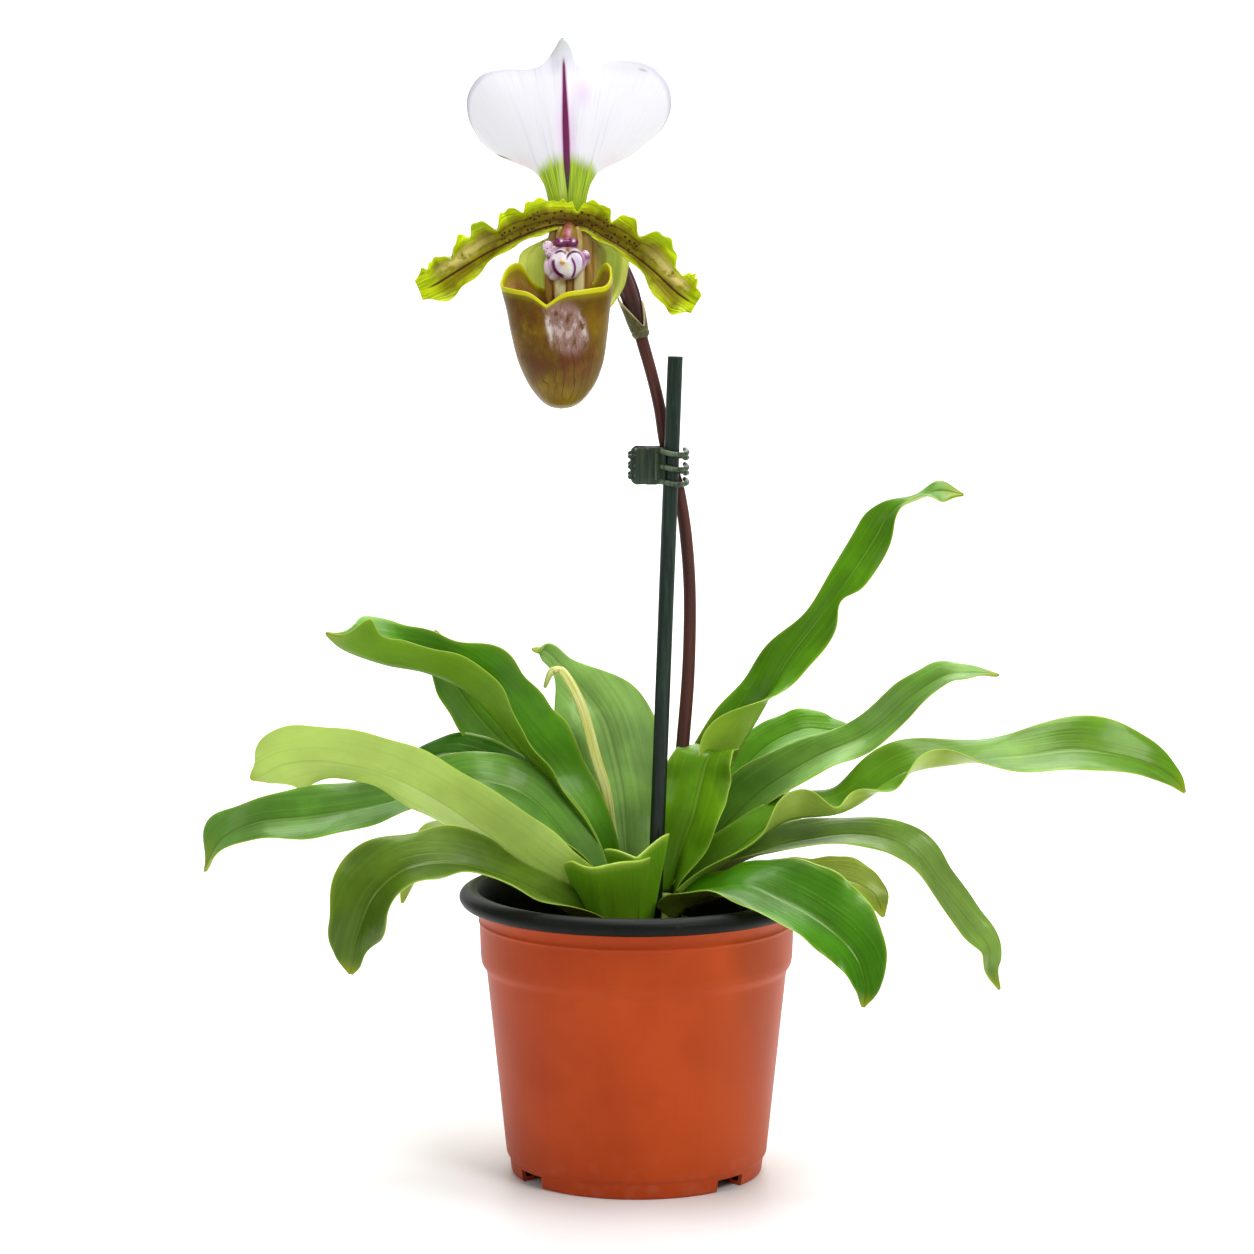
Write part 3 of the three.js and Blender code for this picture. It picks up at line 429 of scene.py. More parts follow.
def leaf_paint(name, upper, under, dry_tip=True):
    """A leathery leaf: parallel veins, a pale midrib and margins, a dry tip, and painted shade towards its
    base.
    """
    paint = Paint(name, Subsurface_Weight=0.08, Subsurface_Radius=(0.6, 1.0, 0.1), Subsurface_Scale=1.2 * MM,
                  Specular_Tint=(0.75, 1.0, 0.35, 1), Specular_IOR_Level=0.42,
                  Coat_Weight=0.16, Coat_Roughness=0.13)
    along, across = paint.shares()
    flat = paint.flat()
    upper_side = paint.value("face")
    reach = ((across - 0.5) * 2).size()
    veins = paint.noise(paint.scaled(flat, 0.012, 0.75, 1), 1.0, 2.0)
    fine = paint.noise(paint.scaled(flat, 0.02, 3.2, 1), 1.0, 2.0)
    cloud = paint.noise(flat, 0.045, 3.0)
    mottle = paint.noise(flat, 0.34, 4.0, 0.6)
    scratch = paint.noise(paint.scaled(flat, 0.25, 1.6, 1), 1.0, 3.0)
    deep = shaded(upper, 0.72)
    dark = shaded(upper, 0.82)
    light = srgb(*[min(value * 1.12 + 14, 255) for value in upper[:2]], upper[2] + 8)
    top = paint.layers(
        paint.mix(cloud.rise(0.3, 0.65), dark, srgb(*upper)),
        (veins.rise(0.52, 0.72) * 0.32, light),
        (veins.fall(0.3, 0.46) * 0.32, deep),
        (fine.rise(0.55, 0.8) * 0.2, light),
        (mottle.rise(0.52, 0.75) * 0.3, dark),
        (scratch.rise(0.66, 0.74) * 0.25, light),
        (cloud.rise(0.52, 0.68) * 0.3, light),
        # painted shade: the leaf is darkened towards its base, where the leaves crowd together
        (along.fall(0.0, 0.3) * 0.6, deep),
    )
    bottom = paint.layers(
        paint.mix(cloud.rise(0.3, 0.7), shaded(under, 0.9), srgb(*under)),
        (veins.rise(0.5, 0.7) * 0.35, shaded(under, 0.85)),
        (fine.rise(0.5, 0.75) * 0.15, shaded(under, 1.1)),
        (mottle.rise(0.55, 0.75) * 0.15, shaded(under, 0.82)),
    )
    margin_colour = srgb(182, 206, 82)
    rib_colour = srgb(*[value * 0.75 + 56 for value in upper[:2]], upper[2] * 0.8 + 24)
    spots = paint.cells(flat, 0.12).fall(0.02, 0.07) * paint.noise(flat, 0.02).rise(0.56, 0.64)
    colour = paint.layers(
        paint.mix(upper_side, bottom, top),
        (reach.near(0.07, 0.05) * upper_side * 0.45, shaded(upper, 0.62)),
        (reach.fall(0.0, 0.035) * (0.35 + 0.25 * upper_side), rib_colour),
        (reach.rise(0.84, 1.0) * 0.16, margin_colour),
        (reach.rise(0.972, 0.992) * 0.7, margin_colour),
        (along.rise(0.88, 1.0) * 0.6, srgb(156, 164, 24) if dry_tip else margin_colour),
        (along.rise(0.985, 0.997) * 0.7, srgb(140, 104, 50) if dry_tip else margin_colour),
        (spots * 0.5, srgb(110, 92, 30)),
    )
    roughness = 0.27 + mottle * 0.14 + (1 - upper_side) * 0.14
    relief = veins * 0.5 + fine * 0.2 + mottle * 0.3
    return paint.finish(colour, roughness, relief, 0.32)


def shoot_paint():
    """Pale yellow with fine streaks, and greener at its foot and its tip."""
    paint = Paint("young leaf", Subsurface_Weight=0.25, Subsurface_Radius=(1, 1, 0.3), Subsurface_Scale=MM)
    along, around = paint.shares()
    streak = paint.noise(paint.joined(along * 4, around * 14), 1.0)
    colour = paint.layers(
        paint.mix(streak.rise(0.35, 0.65), srgb(222, 224, 92), srgb(250, 250, 176)),
        (along.fall(0.0, 0.3) * 0.6, srgb(150, 184, 70)),
        (along.rise(0.8, 1.0) * 0.6, srgb(150, 176, 60)),
    )
    return paint.finish(colour, 0.42 + streak * 0.1, streak, 0.15)


def dorsal_paint():
    """White, with a magenta line up the middle, a streaked green fan at the foot, and a thin line of painted
    shade round its margin.
    """
    paint = Paint("dorsal sepal", Subsurface_Weight=0.2, Subsurface_Radius=(1, 0.9, 1), Subsurface_Scale=MM)
    where = paint.place()
    x, _, z = paint.split(where)
    along, _ = paint.shares()
    aside = x + 23.0 + (z - 340.0) * 0.03
    ray = aside / (z - 312.0)
    streak = paint.noise(paint.joined(ray * 42.0, z * 0.03), 1.0, 2.0)
    fine = paint.noise(paint.joined(ray * 150.0, z * 0.05), 1.0, 2.0)
    edge = 343.5 - aside * aside * 0.045 + (streak - 0.5) * 7.0 + (fine - 0.5) * 4.0
    narrower = z.fall(326, 338) * 1.6
    green = (z - edge).fall(-3.4, 2.6) * aside.size().fall(8.6 - narrower, 10.4 - narrower)
    half_line = z.rise(328, 342) * (0.35 + z.fall(350, 376) * 0.75)
    from_line = aside.size() - half_line
    line = from_line.fall(-0.2, 0.22) * z.rise(327, 331) * z.fall(373, 376.5)
    white = paint.layers(
        srgb(240, 239, 245),
        (fine.rise(0.55, 0.75) * 0.35, srgb(222, 220, 232)),
        (streak.rise(0.55, 0.72) * aside.size().fall(9.0, 20.0) * 0.5, srgb(214, 212, 226)),
        (aside.near(6.0, 4.0) * z.near(364.0, 7.0) * 0.7, srgb(232, 212, 242)),
        (aside.size().near(1.6, 3.2) * z.near(352, 20) * 0.5, srgb(226, 200, 232)),
        (aside.size().near(16.0, 7.0) * z.near(338.0, 9.0) * 0.5, srgb(240, 206, 214)),
        # painted shade with a faint lilac tint: a thin grey line along the margin, so the white edge stands
        # out
        (along.rise(0.97, 0.995) * 0.8, srgb(198, 198, 210)),
        (z.rise(368, 374) * 0.45, srgb(212, 212, 222)),
        (z.rise(376, 381) * 0.6, srgb(206, 214, 200)),
    )
    fan = paint.layers(
        paint.mix(streak.rise(0.35, 0.62), srgb(110, 158, 8), srgb(190, 214, 30)),
        (fine.rise(0.5, 0.72) * 0.45, srgb(84, 128, 6)),
        (aside.near(-1.9, 1.5) * 0.6, srgb(214, 228, 128)),
        (z.fall(327, 334) * 0.4, srgb(196, 218, 40)),
    )
    magenta = paint.mix(z.rise(333, 346), srgb(50, 46, 18), srgb(110, 0, 76))
    brown_fold = (z - 344.5 + (x + 48.3) * 0.33).size().fall(0.14, 0.45) * x.near(-44.6, 4.4)
    grey_mark = (z - 371.6 + (x - 2.0) * 0.25).size().fall(0.2, 0.6) * x.near(2.0, 2.2)
    colour = paint.layers(
        white,
        (green, fan),
        (from_line.fall(0.1, 0.75) * z.rise(340, 348) * z.fall(371, 375) * 0.5, srgb(196, 120, 188)),
        (line, magenta),
        (z.rise(381.4, 382.0) * 0.7, srgb(74, 96, 64)),
        (brown_fold * 0.85, srgb(112, 108, 40)),
        (grey_mark * 0.5, srgb(140, 140, 128)),
    )
    return paint.finish(colour, 0.46 + fine * 0.12, streak * 0.5 + fine * 0.5, 0.16)


def synsepal_paint():
    """Pale green with fine veins, tinted brown and green beside the column, and greener behind. The front's
    pale yellow is painted light, lifted to make up for the shade it stands in.
    """
    paint = Paint("lower sepals", Subsurface_Weight=0.25, Subsurface_Radius=(0.8, 1, 0.3),
                  Subsurface_Scale=MM)
    x, _, z = paint.split(paint.place())
    along, across = paint.shares()
    veins = (across * 88.0 + paint.noise(paint.place(), 0.2) * 2.0).sine()
    fine = paint.noise(paint.joined(across * 120.0, along * 3.0), 1.0)
    dots = paint.cells(paint.joined(x, z), 1.1).fall(0.12, 0.24) * x.near(-33.0, 3.2) * z.near(311.0, 6.0)
    # painted light: the front is painted paler and brighter than the back, to make up for the shade that
    # falls on it
    front = paint.layers(
        paint.mix(fine, srgb(222, 240, 92), srgb(248, 253, 150)),
        (veins.rise(0.55, 1.0) * 0.3, srgb(190, 216, 76)),
        (x.near(-14.5, 6.5) * z.rise(300, 311) * 0.8, srgb(142, 106, 40)),
        (x.near(-8.0, 4.0) * z.rise(300, 308) * 0.4, srgb(150, 190, 24)),
        (x.near(-29.5, 3.0) * z.rise(306, 316) * 0.5, srgb(202, 206, 110)),
        (dots * 0.5, srgb(96, 84, 40)),
    )
    back = paint.mix(veins.rise(0.3, 1.0), srgb(166, 196, 84), srgb(128, 168, 56))
    colour = paint.mix(paint.value("face"), back, front)
    return paint.finish(colour, 0.44, veins * 0.5 + fine * 0.5, 0.2)


def petal_paint(name):
    """Olive and brown with a maroon midvein and dots, a bright lime margin and tip, and painted highlights:
    pale tan patches and a pale line along the edges.
    """
    paint = Paint(name, Subsurface_Weight=0.12, Subsurface_Radius=(0.8, 1, 0.2), Subsurface_Scale=0.8 * MM,
                  Specular_IOR_Level=0.3, Specular_Tint=(1.0, 0.95, 0.45, 1))
    along, across = paint.shares()
    flat = paint.flat()
    reach = (across - 0.5) * 2
    above = reach.rise(-0.02, 0.02)
    front = paint.value("seen")
    vein_noise = paint.noise(paint.scaled(flat, 0.05, 1.5, 1), 1.0, 2.0)
    veins = (reach * 26.0 + vein_noise * 3.0).sine().rise(0.35, 1.0)
    cloud = paint.noise(flat, 0.16, 3.0)
    blotch = paint.noise(flat, 0.3, 4.0, 0.6)
    # painted highlight: pale tan patches on the outer half, standing in for the petal's sheen
    pale = reach.near(0.36, 0.34) * along.near(0.68, 0.24) * blotch.rise(0.36, 0.54)
    inner = paint.layers(
        paint.mix(cloud.rise(0.3, 0.7), srgb(112, 104, 0), srgb(152, 148, 2)),
        (blotch.rise(0.5, 0.62) * 0.5, srgb(92, 62, 2)),
        (reach.near(0.2, 0.45) * along.fall(0.05, 0.75) * 0.85, srgb(86, 58, 2)),
        (veins * 0.5, srgb(62, 42, 2)),
        (along.rise(0.45, 0.9) * cloud.rise(0.35, 0.6) * 0.5, srgb(158, 160, 20)),
        (pale * 0.95, srgb(228, 212, 124)),
        (reach.fall(-0.3, -0.05) * 0.35, srgb(120, 104, 10)),
    )
    wander = (cloud - 0.5) * 0.35
    lime_edge = (reach.size() + wander).rise(0.5, 0.84) * (0.5 + 0.5 * above)
    lime = paint.mix(vein_noise.rise(0.35, 0.65), srgb(154, 184, 0), srgb(216, 232, 16))
    dots = paint.cells(flat, 0.74).fall(0.24, 0.38)
    dot_field = reach.near(0.1, 0.72) * along.fall(0.3, 0.56) * paint.noise(flat, 0.22).rise(0.36, 0.6)
    midvein = reach.size().fall(0.02, 0.075) * along.fall(0.86, 0.95)
    colour = paint.layers(
        inner,
        (lime_edge, lime),
        (along.rise(0.77, 0.92) * 0.92, lime),
        # painted highlight: a pale yellow line along the edges, where the ruffles catch the light
        (reach.size().rise(0.93, 0.99) * 0.55, srgb(226, 234, 90)),
        (dots * dot_field.rise(0.02, 0.2), srgb(50, 12, 14)),
        (midvein * 0.92, srgb(62, 20, 10)),
        (along.fall(0.02, 0.12) * reach.near(0.0, 0.7) * 0.5, srgb(82, 44, 14)),
    )
    back = paint.mix(veins * 0.6, srgb(150, 168, 40), srgb(116, 112, 24))
    colour = paint.mix(front, back, colour)
    relief = veins * 0.35 + vein_noise * 0.4 + dots * dot_field * 0.6
    return paint.finish(colour, 0.34 + cloud * 0.14, relief, 0.22)


def pouch_paint():
    """Glossy olive-brown with a painted mauve sheen and painted glints, fine dark veins and a yellow rim."""
    paint = Paint("slipper pouch", Coat_Weight=0.14, Coat_Roughness=0.12, Subsurface_Weight=0.06,
                  Subsurface_Radius=(1, 0.7, 0.2), Subsurface_Scale=MM, Specular_IOR_Level=0.25,
                  Specular_Tint=(1.0, 0.9, 0.6, 1))
    where = paint.place()
    x, _, z = paint.split(where)
    down, turn = paint.shares()
    outside = paint.value("outside")
    rim = paint.value("rim")
    side = (turn - turn.rise(0.499, 0.501)).size()
    cloud = paint.noise(where, 0.11, 3.0)
    fine = paint.noise(paint.joined(turn * 90.0, down * 4.0), 1.0, 3.0)
    wander = paint.noise(where, 0.09, 2.0)
    vein_angle = turn * 76.0 + wander * 11.0 + z * 0.05
    veins = vein_angle.sine().size().fall(0.02, 0.2) * down.rise(0.15, 0.5) * cloud.rise(0.3, 0.5)
    blotch = paint.noise(paint.joined(x * 0.16, z * 0.11), 1.0, 4.0, 0.6)
    patchy = paint.noise(paint.joined(x * 0.42, z * 0.2), 1.0, 4.0, 0.65)
    # the sheen is partly a mauve tint and partly painted reflection; the glints are painted highlights of
    # the lamps
    lean = x + (z - 289.0) * 0.2
    sheen = lean.near(-23.0, 9.6) * z.near(288.5, 12.5)
    glint = (lean.near(-28.6, 1.5) * z.near(288.5, 8.0)).most(lean.near(-17.4, 1.4) * z.near(289.0, 7.0))
    body = paint.layers(
        paint.mix(cloud.rise(0.3, 0.7), srgb(88, 56, 2), srgb(122, 90, 6)),
        (blotch.rise(0.46, 0.6) * 0.7, srgb(92, 40, 6)),
        (blotch.fall(0.3, 0.42) * 0.6, srgb(138, 112, 4)),
        (side.rise(0.1, 0.26) * 0.5, srgb(138, 112, 2)),
        (z.fall(262, 276) * 0.6, srgb(136, 112, 10)),
        (x.near(-20.0, 6.0) * z.near(279.0, 9.0) * 0.7, srgb(98, 34, 14)),
        (z.rise(290, 298) * 0.5, srgb(84, 62, 0)),
        # painted reflection: the mauve sheen and whitish glints, in patches over the front
        (sheen.rise(0.05, 0.45) * patchy.rise(0.3, 0.5) * 0.85, srgb(148, 116, 108)),
        (sheen.rise(0.2, 0.7) * patchy.rise(0.52, 0.62) * 0.7, srgb(196, 178, 172)),
        (glint * patchy.rise(0.42, 0.56) * 0.8, srgb(228, 220, 208)),
        (fine.rise(0.55, 0.8) * 0.35, srgb(80, 50, 6)),
        (veins * 0.75, srgb(50, 26, 4)),
    )
    speckle = paint.cells(where, 0.9).fall(0.15, 0.35)
    inside = paint.layers(
        paint.mix(cloud.rise(0.35, 0.65), srgb(140, 92, 52), srgb(188, 146, 84)),
        (speckle * 0.6, srgb(98, 48, 40)),
        (down.fall(0.0, 0.12) * 0.5, srgb(196, 176, 40)),
    )
    colour = paint.layers(
        paint.mix(outside, inside, body),
        (rim.fall(0.6, 1.3) * 0.95, srgb(214, 214, 16)),
        (rim.fall(1.1, 3.4) * 0.35, srgb(164, 158, 10)),
    )
    roughness = 0.32 + cloud * 0.12 + (1 - outside) * 0.15
    return paint.finish(colour, roughness, fine * 0.5 + patchy * 0.4 - veins * 0.5, 0.25)


SHIELD_AT = (-22.7, 309.0)


def shield_paint():
    """White and lilac with purple crescents, a yellow tooth, and purple knobs above with painted highlights.
    """
    paint = Paint("shield", Coat_Weight=0.15, Coat_Roughness=0.25, Subsurface_Weight=0.12,
                  Subsurface_Radius=(1, 0.7, 1), Subsurface_Scale=0.6 * MM)
    where = paint.place()
    px, _, pz = paint.split(where)
    x = px - SHIELD_AT[0]
    z = pz - SHIELD_AT[1]
    cloud = paint.noise(where, 0.6, 3.0)
    purple = srgb(98, 8, 84)

    def arc(at_x, at_z, radius, width):
        reach = ((x - at_x) * (x - at_x) + (z - at_z) * (z - at_z)) ** 0.5
        return (reach - radius).size().fall(width * 0.5, width)

    white = paint.layers(
        paint.mix(cloud.rise(0.3, 0.7), srgb(244, 232, 244), srgb(255, 252, 255)),
        (x.near(3.2, 2.4) * z.near(1.0, 4.0) * 0.6, srgb(204, 176, 222)),
        (x.near(-3.4, 1.8) * z.near(-1.5, 3.0) * 0.5, srgb(208, 176, 218)),
        (x.near(-0.3, 2.6) * z.near(-2.4, 2.6) * 0.8, srgb(254, 250, 234)),
    )
    face = paint.layers(
        white,
        (arc(-2.3, 1.9, 1.9, 0.42) * z.rise(2.6, 3.2), purple),
        (arc(2.4, 1.0, 2.6, 0.5) * z.rise(0.4, 2.2), purple),
        (arc(-2.6, -1.8, 5.0, 0.5) * z.fall(1.2, 2.6) * x.rise(0.8, 1.6), srgb(118, 30, 118)),
        (arc(-0.2, 0.0, 4.6, 0.85) * x.fall(-1.8, -0.6) * z.fall(0.4, 1.6), purple),
        (arc(0.2, 0.4, 5.2, 0.7) * x.rise(3.0, 4.2) * z.near(0.6, 3.4), purple),
        (x.near(0.0, 2.0) * z.near(4.4, 2.0) * 0.95, srgb(222, 150, 84)),
        (((x.size() * -1.6 + 4.4) - z).near(0.0, 0.45) * x.size().fall(0.8, 1.5) * 0.9, srgb(64, 16, 34)),
        (x.near(-1.7, 1.5) * z.near(0.2, 1.9), srgb(246, 190, 40)),
        (x.near(-0.4, 1.4) * z.near(-1.4, 1.6) * 0.5, srgb(250, 226, 120)),
        (arc(0.0, 0.0, 5.5, 0.4) * 0.6, srgb(232, 160, 204)),
    )
    dots = paint.cells(where, 1.3).fall(0.2, 0.34)
    around = paint.layers(
        srgb(240, 210, 232),
        (dots * z.rise(1.0, 2.4) * 0.8, srgb(96, 20, 70)),
        (z.near(1.6, 1.6) * 0.85, srgb(112, 22, 98)),
        (x.rise(3.0, 4.6) * cloud.rise(0.4, 0.6) * 0.6, srgb(150, 90, 150)),
        (z.fall(-4.8, -0.6) * 0.85, srgb(250, 240, 250)),
    )
    # painted highlight: a pale spot on top of each knob
    gleam = x.size().near(2.0, 0.8) * z.near(7.1, 0.7)
    knobs = paint.layers(
        paint.mix(cloud.rise(0.3, 0.7), srgb(84, 4, 60), srgb(128, 20, 92)),
        (gleam, srgb(244, 216, 240)),
    )
    stem = paint.layers(
        paint.mix(cloud.rise(0.3, 0.7), srgb(134, 40, 66), srgb(178, 92, 88)),
        ((x.size() - (14.8 - z) * 0.2).rise(0.0, 0.8) * 0.95, srgb(134, 112, 24)),
        (z.rise(10.0, 13.0) * 0.7, srgb(96, 52, 20)),
    )
    shield = paint.value("shield")
    knob = paint.value("knob")
    column = paint.value("column")
    colour = paint.mix(column, paint.mix(knob, paint.mix(shield, around, face), knobs), stem)
    return paint.finish(colour, 0.3 + cloud * 0.1, cloud, 0.12)


def stigma_paint():
    """Cream and brown folds below the shield."""
    paint = Paint("folds below the shield", Subsurface_Weight=0.15, Subsurface_Scale=MM)
    x, _, z = paint.split(paint.place())
    grain = paint.noise(paint.place(), 0.5)
    streak = paint.noise(paint.joined(x * 1.6, z * 0.1), 1.0, 2.0)
    cream = x.near(-25.2, 2.7).most(x.near(-19.0, 2.4)) * z.fall(310, 320)
    colour = paint.layers(
        paint.mix(cream.rise(0.05, 0.5), srgb(168, 130, 52), srgb(250, 242, 182)),
        (streak.rise(0.5, 0.7) * 0.4, srgb(172, 142, 74)),
        (grain.rise(0.55, 0.7) * 0.2, srgb(150, 120, 56)),
        (z.fall(295, 299) * 0.5, srgb(134, 116, 40)),
        (z.rise(308, 313) * 0.7, srgb(168, 136, 72)),
    )
    return paint.finish(colour, 0.4, grain, 0.12)


def stem_paint(name, dark, light):
    """A purple-brown stem with lengthwise streaks, a fine nap, and painted shade towards its foot."""
    paint = Paint(name, Sheen_Weight=0.1, Sheen_Roughness=0.4, Specular_IOR_Level=0.35,
                  Subsurface_Weight=0.05, Subsurface_Scale=MM)
    along, around = paint.shares()
    where = paint.place()
    streak = paint.noise(paint.joined(around * 16.0, along * 5.0), 1.0, 3.0)
    nap = paint.noise(where, 3.0, 2.0)
    colour = paint.layers(
        paint.mix(streak.rise(0.35, 0.65), srgb(*dark), srgb(*light)),
        (nap.rise(0.5, 0.7) * 0.25, shaded(light, 1.25)),
        # painted shade: darker towards the foot of the stalk, where leaves and bract shade it
        (along.fall(0.1, 0.45) * 0.6, shaded(dark, 0.7)),
    )
    return paint.finish(colour, 0.5 + nap * 0.1, nap * 0.6 + streak * 0.4, 0.12)


def bract_paint():
    """Green-brown and streaked, with dry pale tips and margins."""
    paint = Paint("bract", Subsurface_Weight=0.1, Subsurface_Scale=MM)
    along, across = paint.shares()
    reach = ((across - 0.5) * 2).size()
    streak = paint.noise(paint.joined(across * 60.0, along * 2.0), 1.0)
    colour = paint.layers(
        paint.mix(streak.rise(0.35, 0.65), srgb(62, 60, 28), srgb(112, 106, 58)),
        (along.rise(0.84, 0.97) * 0.85, srgb(206, 182, 142)),
        (along.fall(0.0, 0.14) * 0.8, srgb(160, 172, 84)),
        (reach.rise(0.9, 1.0) * 0.5, srgb(176, 160, 110)),
    )
    return paint.finish(colour, 0.5, streak, 0.2)


def pot_paint():
    """Satin terracotta plastic with faint draw lines, scuffs and dust, and painted light on its right side.
    """
    paint = Paint("terracotta plastic", Specular_IOR_Level=0.18, Specular_Tint=(1.0, 0.75, 0.6, 1))
    where = paint.place()
    x, _, z = paint.split(where)
    _, around = paint.shares()
    grain = paint.noise(where, 2.4, 2.0)
    cloud = paint.noise(where, 0.03, 3.0)
    drawn = paint.noise(paint.joined(around * 220.0, z * 0.01), 1.0, 2.0)
    scuffs = paint.noise(paint.joined(around * 60.0, z * 0.8), 1.0, 5.0, 0.7).rise(0.66, 0.74)
    dust = paint.noise(where, 0.16, 4.0).rise(0.5, 0.72) * z.fall(0.0, 22.0)
    colour = paint.layers(
        paint.mix(cloud.rise(0.35, 0.65), srgb(172, 62, 20), srgb(184, 70, 25)),
        # painted light: lighter towards the right, the side that the key lamp lights
        (x.rise(10.0, 50.0) * 0.5, srgb(198, 84, 34)),
        (drawn.rise(0.5, 0.8) * 0.12, srgb(150, 54, 20)),
        (scuffs * 0.12, srgb(206, 118, 80)),
        (dust * 0.12, srgb(196, 140, 110)),
    )
    return paint.finish(colour, 0.4 + cloud * 0.1 + scuffs * 0.12, grain * 0.6 + drawn * 0.4, 0.05)


def black_plastic_paint():
    """The pot's rim and inside, with a little wear."""
    paint = Paint("black plastic", Specular_IOR_Level=0.1)
    where = paint.place()
    grain = paint.noise(where, 2.0, 2.0)
    wear = paint.noise(where, 0.25, 5.0, 0.65).rise(0.58, 0.72)
    colour = paint.layers(
        paint.mix(grain, srgb(13, 16, 13), srgb(24, 27, 24)),
        (wear * 0.25, srgb(52, 54, 48)),
    )
    return paint.finish(colour, 0.42 + wear * 0.2, grain * 0.5 + wear * 0.5, 0.04)


def green_plastic_paint(name, colour, light):
    """Ribbed green plastic, darkened low down by painted shade, where it stands among the leaves."""
    paint = Paint(name, Specular_IOR_Level=0.35)
    where = paint.place()
    _, _, z = paint.split(where)
    streak = paint.noise(paint.scaled(where, 0.8, 0.8, 0.05), 1.0, 3.0)
    grain = paint.noise(where, 2.5, 2.0)
    wear = paint.noise(where, 0.5, 5.0, 0.7).rise(0.6, 0.72)
    shade = paint.layers(
        paint.mix(streak.rise(0.35, 0.65), srgb(*colour), srgb(*light)),
        (wear * 0.25, shaded(light, 1.5, 12)),
        # painted shade: darker below about 185 mm, where the leaves shade the stake
        (z.fall(110, 185) * 0.6, srgb(6, 12, 8)),
    )
    return paint.finish(shade, 0.3 + wear * 0.15, grain * 0.5 + streak * 0.5, 0.05)


def steel_paint():
    """Drawn steel wire with a little tarnish."""
    paint = Paint("steel wire", Metallic=1.0)
    where = paint.place()
    drawn = paint.noise(where, 3.0, 3.0)
    tarnish = paint.noise(where, 0.8, 4.0).rise(0.5, 0.7)
    colour = paint.layers(
        paint.mix(drawn, srgb(150, 150, 148), srgb(190, 190, 186)),
        (tarnish * 0.4, srgb(112, 98, 82)),
    )
    return paint.finish(colour, 0.26 + tarnish * 0.2, drawn, 0.02)


def bark_paint(name, dark, light):
    """Rough bark with a grain, patches and cracks."""
    paint = Paint(name)
    where = paint.place()
    grain = paint.noise(paint.scaled(where, 0.5, 1.4, 1.4), 1.0, 5.0, 0.65)
    patch = paint.noise(where, 0.12, 3.0)
    cracks = paint.cells(where, 0.6)
    colour = paint.layers(
        paint.mix(grain.rise(0.35, 0.65), srgb(*dark), srgb(*light)),
        (patch.rise(0.5, 0.68) * 0.5, shaded(dark, 0.5)),
        (patch.fall(0.3, 0.42) * 0.3, shaded(light, 1.3)),
    )
    return paint.finish(colour, 0.86, grain * 0.7 + cracks * 0.3, 0.5)


def root_paint():
    """Brown roots with a nap, and green growths at the top."""
    paint = Paint("roots and growths")
    where = paint.place()
    _, _, z = paint.split(where)
    nap = paint.noise(where, 2.2, 3.0)
    streak = paint.noise(paint.scaled(where, 1, 1, 0.08), 1.0, 3.0)
    colour = paint.layers(
        paint.mix(nap.rise(0.35, 0.65), srgb(96, 72, 42), srgb(142, 112, 70)),
        (z.rise(76.0, 90.0) * 0.85, srgb(128, 156, 62)),
        (streak.rise(0.5, 0.7) * 0.3, srgb(86, 84, 34)),
    )
    return paint.finish(colour, 0.7, nap * 0.6 + streak * 0.4, 0.3)


# ---------------------------------------------------------------- the pot and its mix

# The pot's shell as [radius, height]: up its outside, over its rim, and down its inside
POT_OUTSIDE = [
    [27, 0], [28.5, 1.6], [36.8, 1.6], [38.2, 0], [42.6, 0], [43.3, 5.4], [44.3, 6.4],
    [50.9, 69.5], [52.5, 72], [52.9, 74.5], [53.25, 85.6], [53.7, 86.4], [53.35, 87.2], [53.4, 88.8],
]
POT_RIM = [[55.2, 91.6], [58.4, 92], [60, 94], [59.5, 96.2], [57, 97.6], [54.2, 97.2]]
POT_INSIDE = [
    [51.9, 92.5], [51.4, 73.5], [49.4, 69.6], [42.6, 6.5], [41.5, 5], [41.5, 1.5],
    [39, 1.5], [37.6, 3.1], [27.8, 3.1], [26.4, 1.5],
]
POT_SIDES = 200
POT_RIM_RINGS = 26
# How far a corner's rounding reaches along a side, the most of a side that it may take, and its steps
POT_CORNER = 0.8
CORNER_SHARE = 0.4
CORNER_STEPS = 3
NOTCH_ANGLES = (-56, 47, 124, 227)
NOTCH_WIDTH = 12
NOTCH_HEIGHT = 4.2
NOTCH_DEPTH = 7
FOOT_RADIUS = 43.2


def softened(profile):
    """A profile with the corners between its ends rounded."""
    points = [np.array(point, float) for point in profile]
    rounded = [points[0]]
    for before, corner, after in zip(points, points[1:], points[2:]):
        start, end = (corner + side * min(POT_CORNER / np.linalg.norm(side), CORNER_SHARE)
                      for side in (before - corner, after - corner))
        for share in np.linspace(0, 1, CORNER_STEPS + 1):
            rounded.append((1 - share) ** 2 * start + 2 * share * (1 - share) * corner + share**2 * end)
    return [*rounded, points[-1]]


def turned(profile, sides):
    """Rings of points: a profile of [radius, height] turned about the upright axis."""
    angle = turns(sides)
    radius, height = np.array(profile, float).T
    return vector(radius[:, None] * np.cos(angle), radius[:, None] * np.sin(angle), height[:, None])


